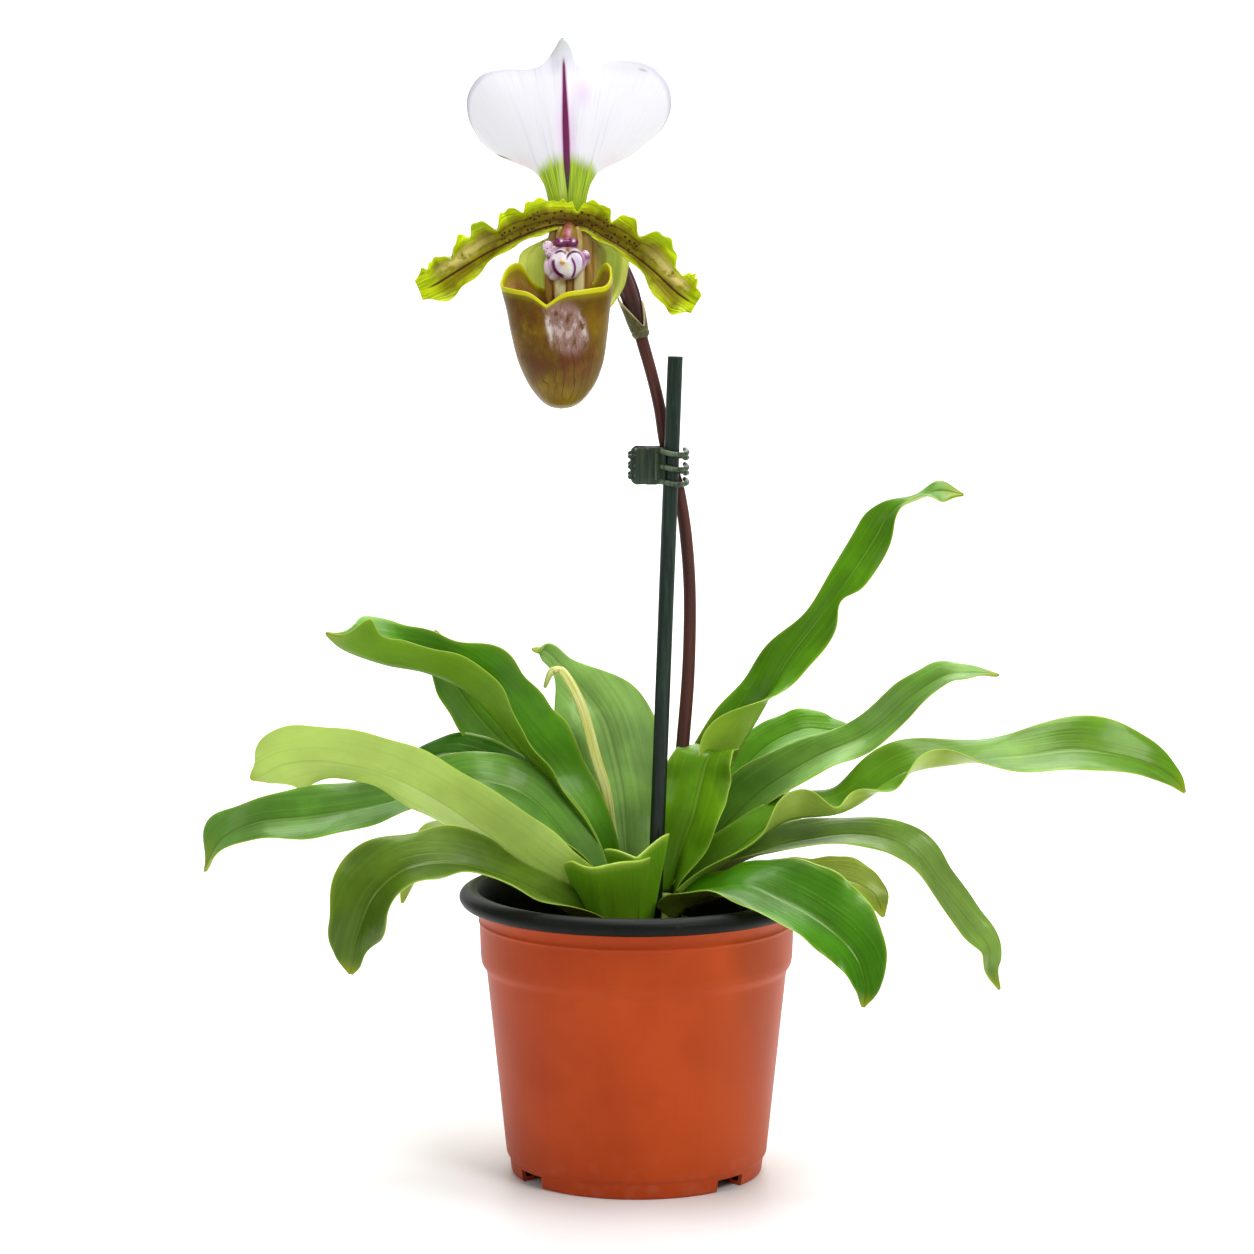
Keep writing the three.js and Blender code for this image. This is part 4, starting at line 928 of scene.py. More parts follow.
def notch_mesh(angle):
    """A box across the pot's foot, at an angle in degrees round the pot."""
    cos, sin = math.cos(math.radians(angle)), math.sin(math.radians(angle))
    mesh = bpy.data.meshes.new("notch")
    box = bmesh.new()
    bmesh.ops.create_cube(box, size=1)
    for point in box.verts:
        x = point.co[0] * NOTCH_WIDTH
        y = point.co[1] * 2 * NOTCH_DEPTH - FOOT_RADIUS
        z = point.co[2] * 2 * NOTCH_HEIGHT
        point.co = [(x * cos - y * sin) * MM, (x * sin + y * cos) * MM, z * MM]
    box.to_mesh(mesh)
    box.free()
    return mesh


def pot_skin():
    """The pot without its notches: terracotta outside and underneath, and black from its rim inwards."""
    outside = softened(POT_OUTSIDE)
    rim = row_at(POT_RIM, np.linspace(0, 1, POT_RIM_RINGS))
    rings = turned([*outside, *rim, *softened(POT_INSIDE)], POT_SIDES)
    mesh = mesh_of("pot_body", [tube(rings)], [terracotta, black_plastic])
    black_from = len(outside) * POT_SIDES
    black = [min(polygon.vertices) >= black_from for polygon in mesh.polygons]
    mesh.polygons.foreach_set("material_index", np.array(black, int))
    return mesh


def make_pot():
    """The pot, with its drain notches cut through the foot."""
    body = loose_object("pot_body", pot_skin())
    cutters = [loose_object("notch", notch_mesh(angle)) for angle in NOTCH_ANGLES]
    for cutter in cutters:
        cut = body.modifiers.new("notch", "BOOLEAN")
        cut.object = cutter
        cut.solver = "EXACT"
    mesh = hardened(body)
    for cutter in cutters:
        bpy.data.objects.remove(cutter)
    settled("pot_shell", mesh, "plant", "pot", sharp=35)


class Rule:
    """A Geometry Nodes tree with named inputs, and short ways to wire its nodes."""

    def __init__(self, name, **inputs):
        self.tree = bpy.data.node_groups.new(name, "GeometryNodeTree")
        self.tree.interface.new_socket("Geometry", in_out="INPUT", socket_type="NodeSocketGeometry")
        self.tree.interface.new_socket("Geometry", in_out="OUTPUT", socket_type="NodeSocketGeometry")
        self.settings = {}
        for key, value in inputs.items():
            kind = "NodeSocketInt" if isinstance(value, int) else "NodeSocketFloat"
            socket = self.tree.interface.new_socket(key, in_out="INPUT", socket_type=kind)
            self.settings[socket.identifier] = value
        self.given = self.tree.nodes.new("NodeGroupInput")
        self.result = self.tree.nodes.new("NodeGroupOutput")

    def input(self, name):
        return self.given.outputs[name]

    def node(self, kind, inputs, output=0, **settings):
        """The output of a new node, whose inputs are plain values or other outputs."""
        made = self.tree.nodes.new(kind)
        for key, value in settings.items():
            setattr(made, key, value)
        for key, value in inputs.items():
            if isinstance(value, bpy.types.NodeSocket):
                self.tree.links.new(value, made.inputs[key])
            else:
                made.inputs[key].default_value = value
        return made.outputs[output]

    def scaled(self, value, scale):
        return self.node("ShaderNodeVectorMath", {0: value, "Scale": scale}, operation="SCALE")

    def drawn(self, lowest, highest, seed):
        """A random vector for each point, between two vectors."""
        inputs = {0: lowest, 1: highest, "Seed": seed}
        return self.node("FunctionNodeRandomValue", inputs, data_type="FLOAT_VECTOR")

    def end(self, geometry, material):
        """Every tree ends in real geometry with its material set."""
        self.material = material
        real = self.node("GeometryNodeRealizeInstances", {"Geometry": geometry})
        painted = self.node("GeometryNodeSetMaterial", {"Geometry": real, "Material": material})
        self.tree.links.new(painted, self.result.inputs[0])

    def grow(self, mesh):
        """The mesh that the tree makes of a mesh."""
        thing = loose_object("ground", mesh)
        modifier = thing.modifiers.new(self.tree.name, "NODES")
        modifier.node_group = self.tree
        for identifier, value in self.settings.items():
            modifier[identifier] = value
        grown = hardened(thing)
        grown.materials.clear()
        grown.materials.append(self.material)
        return grown


CHIP_COUNT = 620
CHIP_LENGTH = 7.5
# A chip's smallest and largest sizes, as shares of that length, and its least and greatest turns
CHIP_SIZES = ((0.7, 0.45, 0.25), (1.5, 0.95, 0.5))
CHIP_TURNS = ((-0.5, -0.5, 0), (0.5, 0.5, 6.28))
# The dents in the chips: their scale to the metre, and how deep they are
CHIP_GRAIN = 420.0
CHIP_DENTS = 4.5


def bark_chips(ground):
    """Chips of bark scattered on the ground, each with a shape of its own."""
    area = sum(polygon.area for polygon in ground.polygons)
    rule = Rule("bark chips", Density=CHIP_COUNT / area, Length=CHIP_LENGTH * MM, Dents=CHIP_DENTS * MM,
                Grain=CHIP_GRAIN, Seed=11)
    points = rule.node("GeometryNodeDistributePointsOnFaces", {
        "Mesh": rule.input("Geometry"), "Density": rule.input("Density"), "Seed": rule.input("Seed"),
    })
    chip = rule.node("GeometryNodeMeshIcoSphere", {"Radius": 0.5, "Subdivisions": 2})
    placed = rule.node("GeometryNodeInstanceOnPoints", {
        "Points": points, "Instance": chip, "Rotation": rule.drawn(*CHIP_TURNS, 3),
        "Scale": rule.scaled(rule.drawn(*CHIP_SIZES, 5), rule.input("Length")),
    })
    real = rule.node("GeometryNodeRealizeInstances", {"Geometry": placed})
    where = rule.node("GeometryNodeInputPosition", {})
    noise_inputs = {"Vector": where, "Scale": rule.input("Grain"), "Detail": 1.0}
    noise = rule.node("ShaderNodeTexNoise", noise_inputs, "Color")
    centred = rule.node("ShaderNodeVectorMath", {0: noise, 1: (0.5, 0.5, 0.5)}, operation="SUBTRACT")
    shift = rule.scaled(centred, rule.input("Dents"))
    rule.end(rule.node("GeometryNodeSetPosition", {"Geometry": real, "Offset": shift}), bark)
    return rule.grow(ground)


MIX_WALL = [[40.4, 3.5], [42.3, 8], [48.8, 69], [50.6, 75]]
MIX_SIDES = 96
MIX_TOP = 76.4
# The radii of the widest and the smallest ring of the mix's top, and how many rings there are
MIX_TOP_RINGS = (49.4, 3, 22)


def mix_top():
    """Rings of points on the mix's bumpy top, from its edge inwards."""
    angle = turns(MIX_SIDES)
    radius = np.linspace(*MIX_TOP_RINGS)[:, None]
    x, y = radius * np.cos(angle), radius * np.sin(angle)
    bumps = 0.8 * np.sin(0.61 * x + 0.4) * np.cos(0.53 * y) + 0.5 * np.sin(1.3 * x + 0.9 * y)
    return vector(x, y, MIX_TOP + bumps)


def make_mix():
    """The bark mix in the pot, with loose chips on it."""
    top = mix_top()
    body = tube(np.concatenate([turned(MIX_WALL, MIX_SIDES), top]))
    piece("bark_mix_body", [body], [dark_bark], "potting_mix")
    ground = bpy.data.meshes.new("mix top")
    ground.from_pydata((top.reshape(-1, 3) * MM).tolist(), [], ring_faces(1, len(top) - 1, MIX_SIDES))
    settled("bark_chips", bark_chips(ground), "plant", sharp=50)


# Each growth's place and radius, and the growths' shape as [height, share of the radius]
GROWTHS = [[-8, -16, 4.6], [-4, 8, 4.8], [10, -4, 4.4], [9, 13, 4.4]]
GROWTH_SHAPE = [[62, 1], [74, 1.25], [84, 1], [95.5, 0.45]]
RHIZOME_RADIUS = 4
ROOT_RADIUS = 1.5
ROOTS_EACH = 2


def growth(x, y, radius):
    """A short upright growth with winding ridges."""
    rows = [[x, y, height, radius * share] for height, share in GROWTH_SHAPE]
    return stalk(rows, 28, 30, lambda angle, share: 1 + 0.06 * np.sin(2 * angle + 26 * share))


def root(x, y, number, branch):
    """A fleshy root that runs out from a growth and then down."""
    turn = 2.4 * (ROOTS_EACH * number + branch)
    reach = 13 + 4 * math.sin(3.1 * number + branch)
    drop = 40 + 6 * math.cos(2.3 * number + branch)
    rows = [[x + reach * share * math.cos(turn), y + reach * share * math.sin(turn), height, ROOT_RADIUS]
            for share, height in ((0, 66), (0.5, 55), (0.85, drop), (1, drop - 16))]
    return stalk(rows, 12, 24)


def make_crown():
    """The growths that the leaves come from, the rhizome between them, and some roots."""
    parts = []
    middle = np.mean(GROWTHS, axis=0)[:2]
    for number, (x, y, radius) in enumerate(GROWTHS):
        parts.append(growth(x, y, radius))
        parts.append(stalk([[*middle, 64, RHIZOME_RADIUS], [x, y, 66, RHIZOME_RADIUS]], 16, 8))
        parts += [root(x, y, number, branch) for branch in range(ROOTS_EACH)]
    piece("crown_and_root", parts, [roots], "crown_and_roots")


# ---------------------------------------------------------------- leaves

# Leaves as rows of [x, y, z, roll, half width] from base to tip. The azimuth is the way a leaf
# grows, and roll lifts its left edge. LOOKS names each leaf's upper and under colour.
LEAVES = {
    "leaf_left_broad": (175, [
        [-12, -18, 87, 30, 7], [-20, -21, 97.5, 55, 11.5], [-34, -22, 107.5, 60, 14],
        [-51, -24, 121.5, 60, 14.5], [-69, -26, 134, 56, 14.5], [-86, -27, 142, 52, 14],
        [-103, -28, 145.5, 58, 14], [-116, -28, 144.5, 66, 12.5], [-124, -27, 140.5, 62, 6.5],
        [-128, -26, 138.5, 60, 0.7],
    ]),
    "leaf_front_right": (-34, [
        [12, -9, 88, 0, 7], [20, -19, 97, 8, 12], [34, -33, 104, 16, 15.5],
        [50, -46, 100, 28, 17], [63, -53, 93, 34, 17], [71, -57, 85, 38, 12],
        [74, -59, 76, 40, 6], [73.5, -60, 69, 45, 0.6],
    ]),
    "leaf_left_drooping": (190, [
        [-13, -21, 86, -5, 7], [-27, -31, 98, -15, 10], [-44, -36, 107.5, -22, 13.5],
        [-61, -39, 112.5, -30, 16], [-76, -43, 111, -45, 17], [-86, -46, 103, -62, 17],
        [-91, -47, 92, -72, 13], [-93, -47, 83.5, -72, 7], [-94, -46, 77, -70, 0.7],
    ]),
    "leaf_centre_short": (60, [
        [12.5, -1, 96, 0, 6.5], [15, -1.5, 110, 0, 11], [19.5, -1, 123, 0, 13],
        [22, 1, 133, 0, 13], [24, 3, 140, 0, 12], [26.5, 6, 142.5, 0, 9.5],
        [29, 9.5, 140.5, 0, 6.5], [30.5, 12, 137, 0, 0.6],
    ]),
    "leaf_right_long": (3, [
        [16, -5, 94, 10, 7], [32, -5, 109, 25, 11], [50, -4, 121, 20, 13],
        [70, -4, 124.5, 18, 13], [90, -5, 137, 28, 13], [108, -6, 141, 16, 12],
        [129, -6, 142.5, 26, 12], [149, -5, 144.5, 35, 12.5], [169, -4, 141, 42, 9.5],
        [180, -3, 135.5, 45, 5], [185, -2, 130, 50, 0.6],
    ]),
    "leaf_right_olive": (-15, [
        [16, -8, 92, 15, 7], [38, -15, 100, 25, 9], [55, -21, 103.5, 28, 10],
        [69, -25, 104, 32, 9], [78, -27, 100, 36, 6.5], [82, -28, 92.5, 40, 0.6],
    ]),
    "leaf_right_drooping": (5, [
        [15, 10, 91, 0, 7], [35, 4, 105.5, 10, 11], [55, 0, 112.5, 15, 11],
        [75, -3, 115.5, 25, 9], [91, -5, 111.5, 38, 9], [101, -7, 100, 42, 8.4],
        [111, -9, 87.5, 48, 7.6], [118, -10, 79, 50, 5.4], [119, -10, 71, 50, 4],
        [122.5, -10, 64, 40, 0.6],
    ]),
    "leaf_far_left": (178, [
        [-12, -11, 90, 0, 7], [-22, -9, 112, -20, 11], [-36, -8, 129, -30, 13],
        [-54, -6, 134.5, -30, 13], [-72, -4, 129.5, -22, 13], [-90, -3, 125, -32, 12.5],
        [-110, -2, 121.5, -48, 11.5], [-128, -2, 119.5, -48, 8], [-140, -2, 113.5, -35, 6],
        [-146, -3, 103, -20, 0.7],
    ]),
    "leaf_right_mid": (12, [
        [15, 13.5, 92, 0, 7], [27, 13, 111, 20, 10], [42, 12, 127, 30, 12],
        [61, 12, 139.5, 30, 11], [79, 12, 148, 32, 9.5], [94, 11, 161, 34, 8],
        [105, 10, 168, 25, 5.5], [114, 9, 169.2, 20, 3.5], [123, 9, 168.5, 20, 0.6],
    ]),
    "leaf_upper_right": (15, [
        [14, 16, 95, 0, 7], [23.5, 17, 117, 4, 11], [34, 18, 140, 10, 12.5],
        [43.5, 18, 157, 18, 12], [51.5, 18, 172, 36, 10], [61.5, 18, 186, 50, 8],
        [72.5, 18, 201, 55, 7.5], [81, 18, 214, 50, 7], [87, 18, 223.5, 20, 4.5],
        [95, 18, 228, 0, 2.5], [103, 18, 230, 35, 4], [111, 18, 229, 35, 0.6],
    ]),
    "leaf_right_short": (8, [
        [14, 19, 92, 0, 6], [25, 27, 116, 15, 9], [41.5, 32, 137, 25, 11],
        [56, 33, 145.5, 30, 9], [68, 33, 145.5, 35, 6], [77, 32, 145, 35, 0.6],
    ]),
    "leaf_upper_left": (172, [
        [-10, 5, 90, -10, 7], [-18, 5, 116.4, -14, 11], [-30, 8, 133, -14, 12.5],
        [-40.3, 8, 144.5, -12, 13], [-48.8, 8, 155, -10, 13], [-58.6, 7, 164.5, -8, 12.5],
        [-71, 5, 170.5, -4, 12], [-85, 4, 173.5, 0, 12], [-98, 2, 178.5, 4, 8.5],
        [-104.8, 2, 184, 10, 0.6],
    ]),
    "leaf_left_inner": (175, [
        [-9, 9, 92, 0, 6], [-20, 10, 113, -25, 8], [-36, 11, 130.5, -35, 8.5],
        [-53, 11, 139, -35, 9], [-65, 12, 141, -30, 8], [-76, 12, 137, -25, 6],
        [-83, 11, 131, -20, 3], [-86, 10, 125, -20, 0.6],
    ]),
    "leaf_left_behind": (170, [
        [-8, 15, 92, 0, 6], [-18, 23, 113, -20, 10], [-36, 27, 132, -35, 12],
        [-52, 26, 148.5, -40, 12.5], [-62.5, 24, 163, -40, 11], [-67, 22, 174, -30, 7],
        [-69, 20, 182.5, -20, 0.7],
    ]),
    "leaf_back_centre": (95, [
        [-3, 18, 93, 0, 8], [-4, 22.5, 111, 0, 13], [-5.5, 24.5, 126, 0, 17],
        [-8.5, 26, 140, 0, 18.5], [-12, 28, 151, 0, 16.5], [-18.5, 29.5, 160.5, 0, 11],
        [-25, 29, 168.5, 0, 4.5], [-31, 28, 174.5, 0, 3.5], [-36, 27, 175, 0, 0.6],
    ]),
    "leaf_back": (80, [
        [5, 19, 88, 0, 7], [7, 36, 111, 0, 13], [11, 58, 124, 0, 16],
        [15, 82, 125, 0, 15], [20, 104, 112, 0, 10], [22, 120, 90, 0, 0.6],
    ]),
    "leaf_back_left": (115, [
        [-7, 14, 89, 0, 7], [-18, 36, 112, 0, 13], [-29, 55, 123, 0, 15],
        [-40, 76, 124, 0, 14], [-49, 94, 111, 0, 9], [-56, 106, 93, 0, 0.6],
    ]),
    "leaf_back_right": (60, [
        [12.5, 18, 89, 0, 7], [23, 38, 107, 0, 12], [34, 60, 117, 0, 13],
        [44, 80, 116, 0, 11], [53, 98, 103, 0, 7], [56, 105.5, 96.5, 0, 0.6],
    ]),
    "leaf_back_low_left": (140, [
        [-9, 11.5, 88, 0, 7], [-28, 28, 107, 0, 12], [-46, 45, 114, 0, 13],
        [-65, 62, 107, 0, 11], [-78, 74, 90, 0, 7], [-84, 80, 76, 0, 0.6],
    ]),
}
USUAL_LOOK = ((84, 142, 16), (156, 192, 70))
LOOKS = {
    "leaf_front_sheath": ((74, 134, 6), (112, 168, 24)),
    "leaf_left_broad": ((92, 148, 14), (186, 216, 102)),
    "leaf_front_right": ((56, 116, 0), (156, 192, 60)),
    "leaf_left_drooping": ((76, 106, 18), (112, 138, 40)),
    "leaf_centre_short": ((96, 148, 14), (156, 196, 60)),
    "leaf_right_long": ((88, 138, 16), (168, 194, 82)),
    "leaf_right_olive": ((126, 144, 44), (146, 156, 60)),
    "leaf_right_drooping": ((116, 150, 62), (168, 188, 104)),
    "leaf_far_left": ((92, 142, 50), (150, 186, 60)),
    "leaf_right_mid": ((100, 146, 52), (168, 188, 96)),
    "leaf_upper_right": ((78, 134, 2), (160, 196, 58)),
    "leaf_upper_left": ((74, 138, 6), (124, 168, 34)),
    "leaf_left_inner": ((40, 92, 4), (112, 150, 44)),
    "leaf_left_behind": ((90, 138, 36), (132, 168, 50)),
    # painted light: this leaf's colours are lifted well above the others, to make up for the shade it stands
    # in
    "leaf_back_centre": ((160, 206, 112), (168, 206, 100)),
}
# Where an edge swings out or folds up: [edge, share along, spread, more width, degrees of fold].
# Edge 1 is the left edge, seen from the base, and -1 is the right one.
WAVES = {
    "leaf_upper_right": [
        [1, 0.46, 0.07, -0.38, 6], [1, 0.69, 0.05, 0.35, 0], [1, 0.92, 0.05, 0.3, 0],
        [-1, 0.205, 0.1, 0.5, 54], [1, 0.17, 0.11, 0.18, 46],
        [-1, 0.43, 0.05, 0.25, 0], [-1, 0.505, 0.025, -0.5, 14], [-1, 0.9, 0.07, 1.3, 0],
    ],
    "leaf_right_mid": [
        [-1, 0.19, 0.08, -0.5, 0], [1, 0.74, 0.06, 0.35, 0], [1, 0.48, 0.15, -0.22, 0],
        [-1, 0.86, 0.07, 0.6, 0],
    ],
    "leaf_front_right": [[-1, 0.65, 0.35, -0.3, 6], [1, 0.75, 0.1, -0.08, 0]],
    "leaf_left_broad": [[1, 0.6, 0.12, -0.15, 0], [-1, 0.22, 0.14, -0.5, 0], [1, 0.92, 0.06, -0.3, 0]],
    "leaf_left_drooping": [
        [-1, 0.45, 0.08, -0.27, 0], [-1, 0.72, 0.1, -0.22, 0],
        [1, 0.3, 0.07, -0.5, 0], [1, 0.85, 0.1, -0.45, 0], [1, 0.6, 0.2, 0.0, 34],
    ],
    "leaf_far_left": [[-1, 0.9, 0.06, 0.9, 0]],
    "leaf_right_long": [
        [-1, 0.23, 0.05, -0.05, 66], [-1, 0.33, 0.03, -0.3, 48], [-1, 0.46, 0.05, -0.35, 52],
        [1, 0.13, 0.05, -0.2, 0], [1, 0.75, 0.12, 0.1, 0],
    ],
    "leaf_back_centre": [[1, 0.6, 0.15, 0.2, 0]],
    "leaf_upper_left": [
        [1, 0.62, 0.4, 0, 50], [-1, 0.55, 0.35, 0.55, 58], [-1, 0.63, 0.07, -0.5, 0],
        [-1, 0.86, 0.07, 0.5, 0], [1, 0.88, 0.04, 0.8, 0],
    ],
}
# The fold along a leaf's midrib, in degrees: at its base, and past the share where it has opened
FOLD_AT_BASE = 58
FOLD = 17
OPENED_AT = 0.2
RIB_ROUNDING = 0.04
# How far a leaf's surface swings, ripples and pleats, as shares of its half width
SWING = 0.1
RIPPLE = 0.035
PLEAT = 0.007
LEAST_HALF_WIDTH = 0.5
BLADE = 1.0


def waved(name, along, across):
    """How wide a leaf is at each point, as a share of its usual width, and how folded."""
    wider = 1.0
    folded = FOLD
    for edge, share, spread, more_width, more_fold in WAVES.get(name, []):
        here = bell(along, share, spread) * (across * edge > 0)
        wider = wider + more_width * here
        folded = folded + more_fold * here
    return wider, folded


def leaf_relief(along, across, phase):
    """How far out from the midrib a point is, and how far it stands off the fold, as shares of the
    half width."""
    left = across > 0
    reach = np.sqrt(across**2 + RIB_ROUNDING**2) - RIB_ROUNDING
    swing = SWING * np.sin(2 * np.pi * (3 * along + phase) + np.where(left, 1.3, 0)) * reach**2
    ripple = RIPPLE * np.sin(2 * np.pi * (8 * along + 2.7 * phase) + np.where(left, 2.1, 0)) * reach**5
    pleat = PLEAT * np.sin(9.5 * reach + 2.4 * np.sin(5 * along + 6 * phase)) * reach * (1 - reach**4)
    return reach, swing + ripple + pleat


def leaf_place(name, azimuth, rows, phase):
    """The middle surface of a leaf: folded along its midrib, most at the base, with waved edges."""
    turn = math.radians(azimuth)

    def place(along, across):
        point, direction = run_at(rows, along)
        roll, half = np.moveaxis(row_at(rows, along)[..., 3:], -1, 0)
        level = np.array([-math.sin(turn), math.cos(turn), 0])
        level = unit(level - direction * np.sum(direction * level, axis=-1, keepdims=True))
        up = np.cross(direction, level)
        tilt = np.radians(roll)[..., None]
        side = level * np.cos(tilt) + up * np.sin(tilt)
        face = up * np.cos(tilt) - level * np.sin(tilt)
        opened = smooth(along, 0, OPENED_AT)
        wider, folded = waved(name, along, across)
        width = np.maximum(half * wider, LEAST_HALF_WIDTH)
        bend = np.radians(FOLD_AT_BASE + (folded - FOLD_AT_BASE) * opened)
        reach, stands_off = leaf_relief(along, across, phase)
        lift = width * (np.sin(bend) * reach + stands_off * opened)
        return point + side * (width * across * np.cos(bend))[..., None] + face * lift[..., None]

    return place


# The front sheath and the blade in it: the foot of each one's middle line, and its run to the top
SHEATH_FOOT = (-8, -22, 82)
SHEATH_RUN = (-3, -11.5, 29)
INNER_FOOT = (1, -19, 86)
INNER_RUN = (-1, -6, 26)


def sheath_place(along, across):
    """The wide foot of the front leaves: a funnel that is open behind, with a dipped top edge."""
    wide = (8 + 8 * along) * across
    back = (5 + 9 * along) * across**2 + 0.8 * bell(across, 0, 0.12)
    taller = along * (1.5 * across**2 - 4.5 * smooth(-across, 0.6, 1) + 0.8 * np.sin(5 * across))
    return SHEATH_FOOT + np.multiply.outer(along, SHEATH_RUN) + vector(wide, back, taller)


def inner_sheath_place(along, across):
    """The folded foot of a leaf behind it, seen along its fold."""
    reach = np.sqrt(across**2 + 0.004)
    wide = (4 + 7 * along) * across
    back = (5 + 6 * along) * reach
    taller = along * (np.where(across > 0, 8.5, 3) * reach - 2.2 * across**4)
    return INNER_FOOT + np.multiply.outer(along, INNER_RUN) + vector(wide, back, taller)


def make_leaves():
    look = leaf_paint("front sheath finish", *LOOKS["leaf_front_sheath"], dry_tip=False)
    skins = [blade(place, 50, 60, BLADE, keel=0.3) for place in (sheath_place, inner_sheath_place)]
    piece("leaf_front_sheath_blade", skins, [look], "leaf_front_sheath")
    for number, (name, (azimuth, rows)) in enumerate(LEAVES.items(), start=1):
        place = leaf_place(name, azimuth, rows, 0.37 * number)
        look = leaf_paint(name + " finish", *LOOKS.get(name, USUAL_LOOK))
        skin = blade(place, 16 * len(rows), 30, BLADE, groove=0.25, keel=0.35)
        piece(name + "_blade", [skin], [look], name)


SHOOT_ROWS = [
    [-4.6, 9.8, 96.5, 1.4], [-8, 14, 112, 1.6], [-10.4, 15.6, 127.5, 1.8], [-13.6, 16.4, 138, 1.9],
    [-15.9, 16.8, 146.8, 1.9], [-18.2, 17, 155, 1.8], [-21.4, 17.2, 162.5, 1.7], [-25.5, 17.4, 168.8, 1.5],
    [-29, 17.6, 168.5, 1.3], [-31.2, 17.8, 163.5, 0.7],
]


def make_shoot():
    """The narrow young leaf, rolled up, with a groove down one side."""
    rolled = stalk(SHOOT_ROWS, 24, 110, lambda angle, share: 1 - 0.35 * bell(angle, 1.5 * np.pi, 0.5))
    piece("pale_shoot_blade", [rolled], [shoot_paint()], "pale_shoot")


# ---------------------------------------------------------------- stem, stake and clip

STAKE_ROWS = [[3.2, -9.5, 14, 2.6], [12.8, -4.4, 277.3, 2.6]]
SCAPE_ROWS = [
    [9.5, 5, 66, 2.3], [11.5, 8.5, 92, 2.4], [13.5, 10, 118, 2.4], [15.6, 9.2, 144, 2.3],
    [17.5, 6.8, 170, 2.2], [17.9, 3.8, 196, 2.1], [16.6, 1.6, 216, 2.1], [14.1, 0.3, 232.4, 2],
    [11.4, -0.1, 241, 1.9], [9.2, -0.2, 249, 1.9], [7.6, 0.8, 260, 2], [5, 1.5, 271, 2],
    [1.6, 2.6, 283, 2.1],
]
OVARY_ROWS = [
    [1.5, 2.7, 283.5, 1.9], [-0.4, 4, 291, 2.6], [-2.8, 5.4, 299, 3.1], [-7, 6.4, 308, 3],
    [-13.5, 5, 315.5, 2.6], [-19.5, 0, 319.6, 2.6], [-21.8, -7.6, 320.6, 2.9],
]
COLLAR_ROWS = [[1.7, 2.6, 283.2, 2.3], [1.4, 2.8, 284.3, 3.0], [1.1, 3, 285.4, 2.8]]
BRACT_ROWS = [
    [1.3, 2.9, 284.4, 2.5], [0.2, 3.6, 288.5, 3.1], [-0.9, 4.4, 292.7, 3.5], [-2.2, 5.1, 297, 3.9],
]
# How high the bract reaches, at even turns from behind over its left side to its front and right
BRACT_HEIGHTS = [[0.6], [0.7], [1.0], [0.9], [0.62], [0.36], [0.2], [0.78], [0.7], [0.55], [0.6]]
BRACT_HALF_TURN = 172
BRACT = 0.7


def bract_place(along, across):
    """A sheath round the foot of the ovary, open in front, with a long point on each side."""
    tall = row_at(BRACT_HEIGHTS, (across + 1) / 2)[..., 0]
    point, direction = run_at(BRACT_ROWS, along * tall)
    radius = row_at(BRACT_ROWS, along * tall)[..., 3] + 0.25 * np.sin(9 * across) * along
    sideways = unit(np.array([1.0, 0, 0]) - direction * direction[..., :1])
    forwards = np.cross(sideways, direction)
    angle = np.radians(BRACT_HALF_TURN) * across
    aside, ahead = radius * np.sin(angle), radius * np.cos(angle)
    return point + sideways * aside[..., None] + forwards * ahead[..., None]


def make_stem():
    """The flower stem, the six-ribbed ovary at its top, and the bract between them."""
    stem = stem_paint("flower stem", (62, 28, 20), (92, 46, 36))
    dark_stem = stem_paint("ovary", (44, 16, 18), (84, 38, 42))
    piece("scape_stem", [stalk(SCAPE_ROWS, 28, 160)], [stem], "scape")
    ribbed = stalk(OVARY_ROWS, 60, 90, lambda angle, share: 1 + 0.09 * np.cos(6 * angle))
    piece("ovary_stem", [ribbed], [dark_stem], "ovary")
    sheath = blade(bract_place, 46, 110, BRACT, even=True)
    piece("bract_sheath", [sheath, stalk(COLLAR_ROWS, 28, 12)], [bract_paint()], "bract")


def make_stake():
    """A plastic stake with shallow flats that wind slowly up it."""
    def flats(angle, share):
        return 1 - 0.03 * np.abs(np.sin(3 * angle + 4 * share))

    dark_green = green_plastic_paint("stake plastic", (18, 34, 26), (36, 54, 42))
    rod = stalk(STAKE_ROWS, 36, 90, flats, rounding=0.25)
    piece("stake_rod", [rod], [dark_green], "stake", sharp=60)


CLIP_HINGE = (4.9, -2.6)
CLIP_FOOT = 234.6
CLIP_HEIGHT = 12.8
# Each jaw: its body, the side that it lies on, and the heights of its claws and of its knuckles
JAWS = {
    "clip_front_jaw": ("plant", -1, (1.4, 6.4, 11.4), (0, 10.8)),
    "clip_rear_jaw": ("rear_jaw", 1, (3.85, 8.95), (2.3, 8.5)),
}
# The middle of a thumb plate in plan, from its free end to the claws' root, with the hinge at 0, 0
PLATE_ROWS = [[-7.1, 5.9], [-5.2, 5.2], [-3.3, 4.1], [-1.4, 3.1], [0.6, 3.0], [2.3, 3.6], [4.6, 5.5]]
PLATE = 1.3
PLATE_MARGIN = 0.25
# The rounding of a plate's corners: the share of its length, and how far they come in
PLATE_CORNER = (0.22, 3.0)
# A claw: its middle from the hinge, its half widths, its turn from start to end, and its radii
CLAW_MIDDLE = 6.7
CLAW_REACH = (5.25, 6.05)
CLAW_TURN = (129, -32)
CLAW_RADII = (0.92, 0.82)
CLAW_DIP = 1.1
KNUCKLE = 1.9
KNUCKLE_DEPTH = 2.7
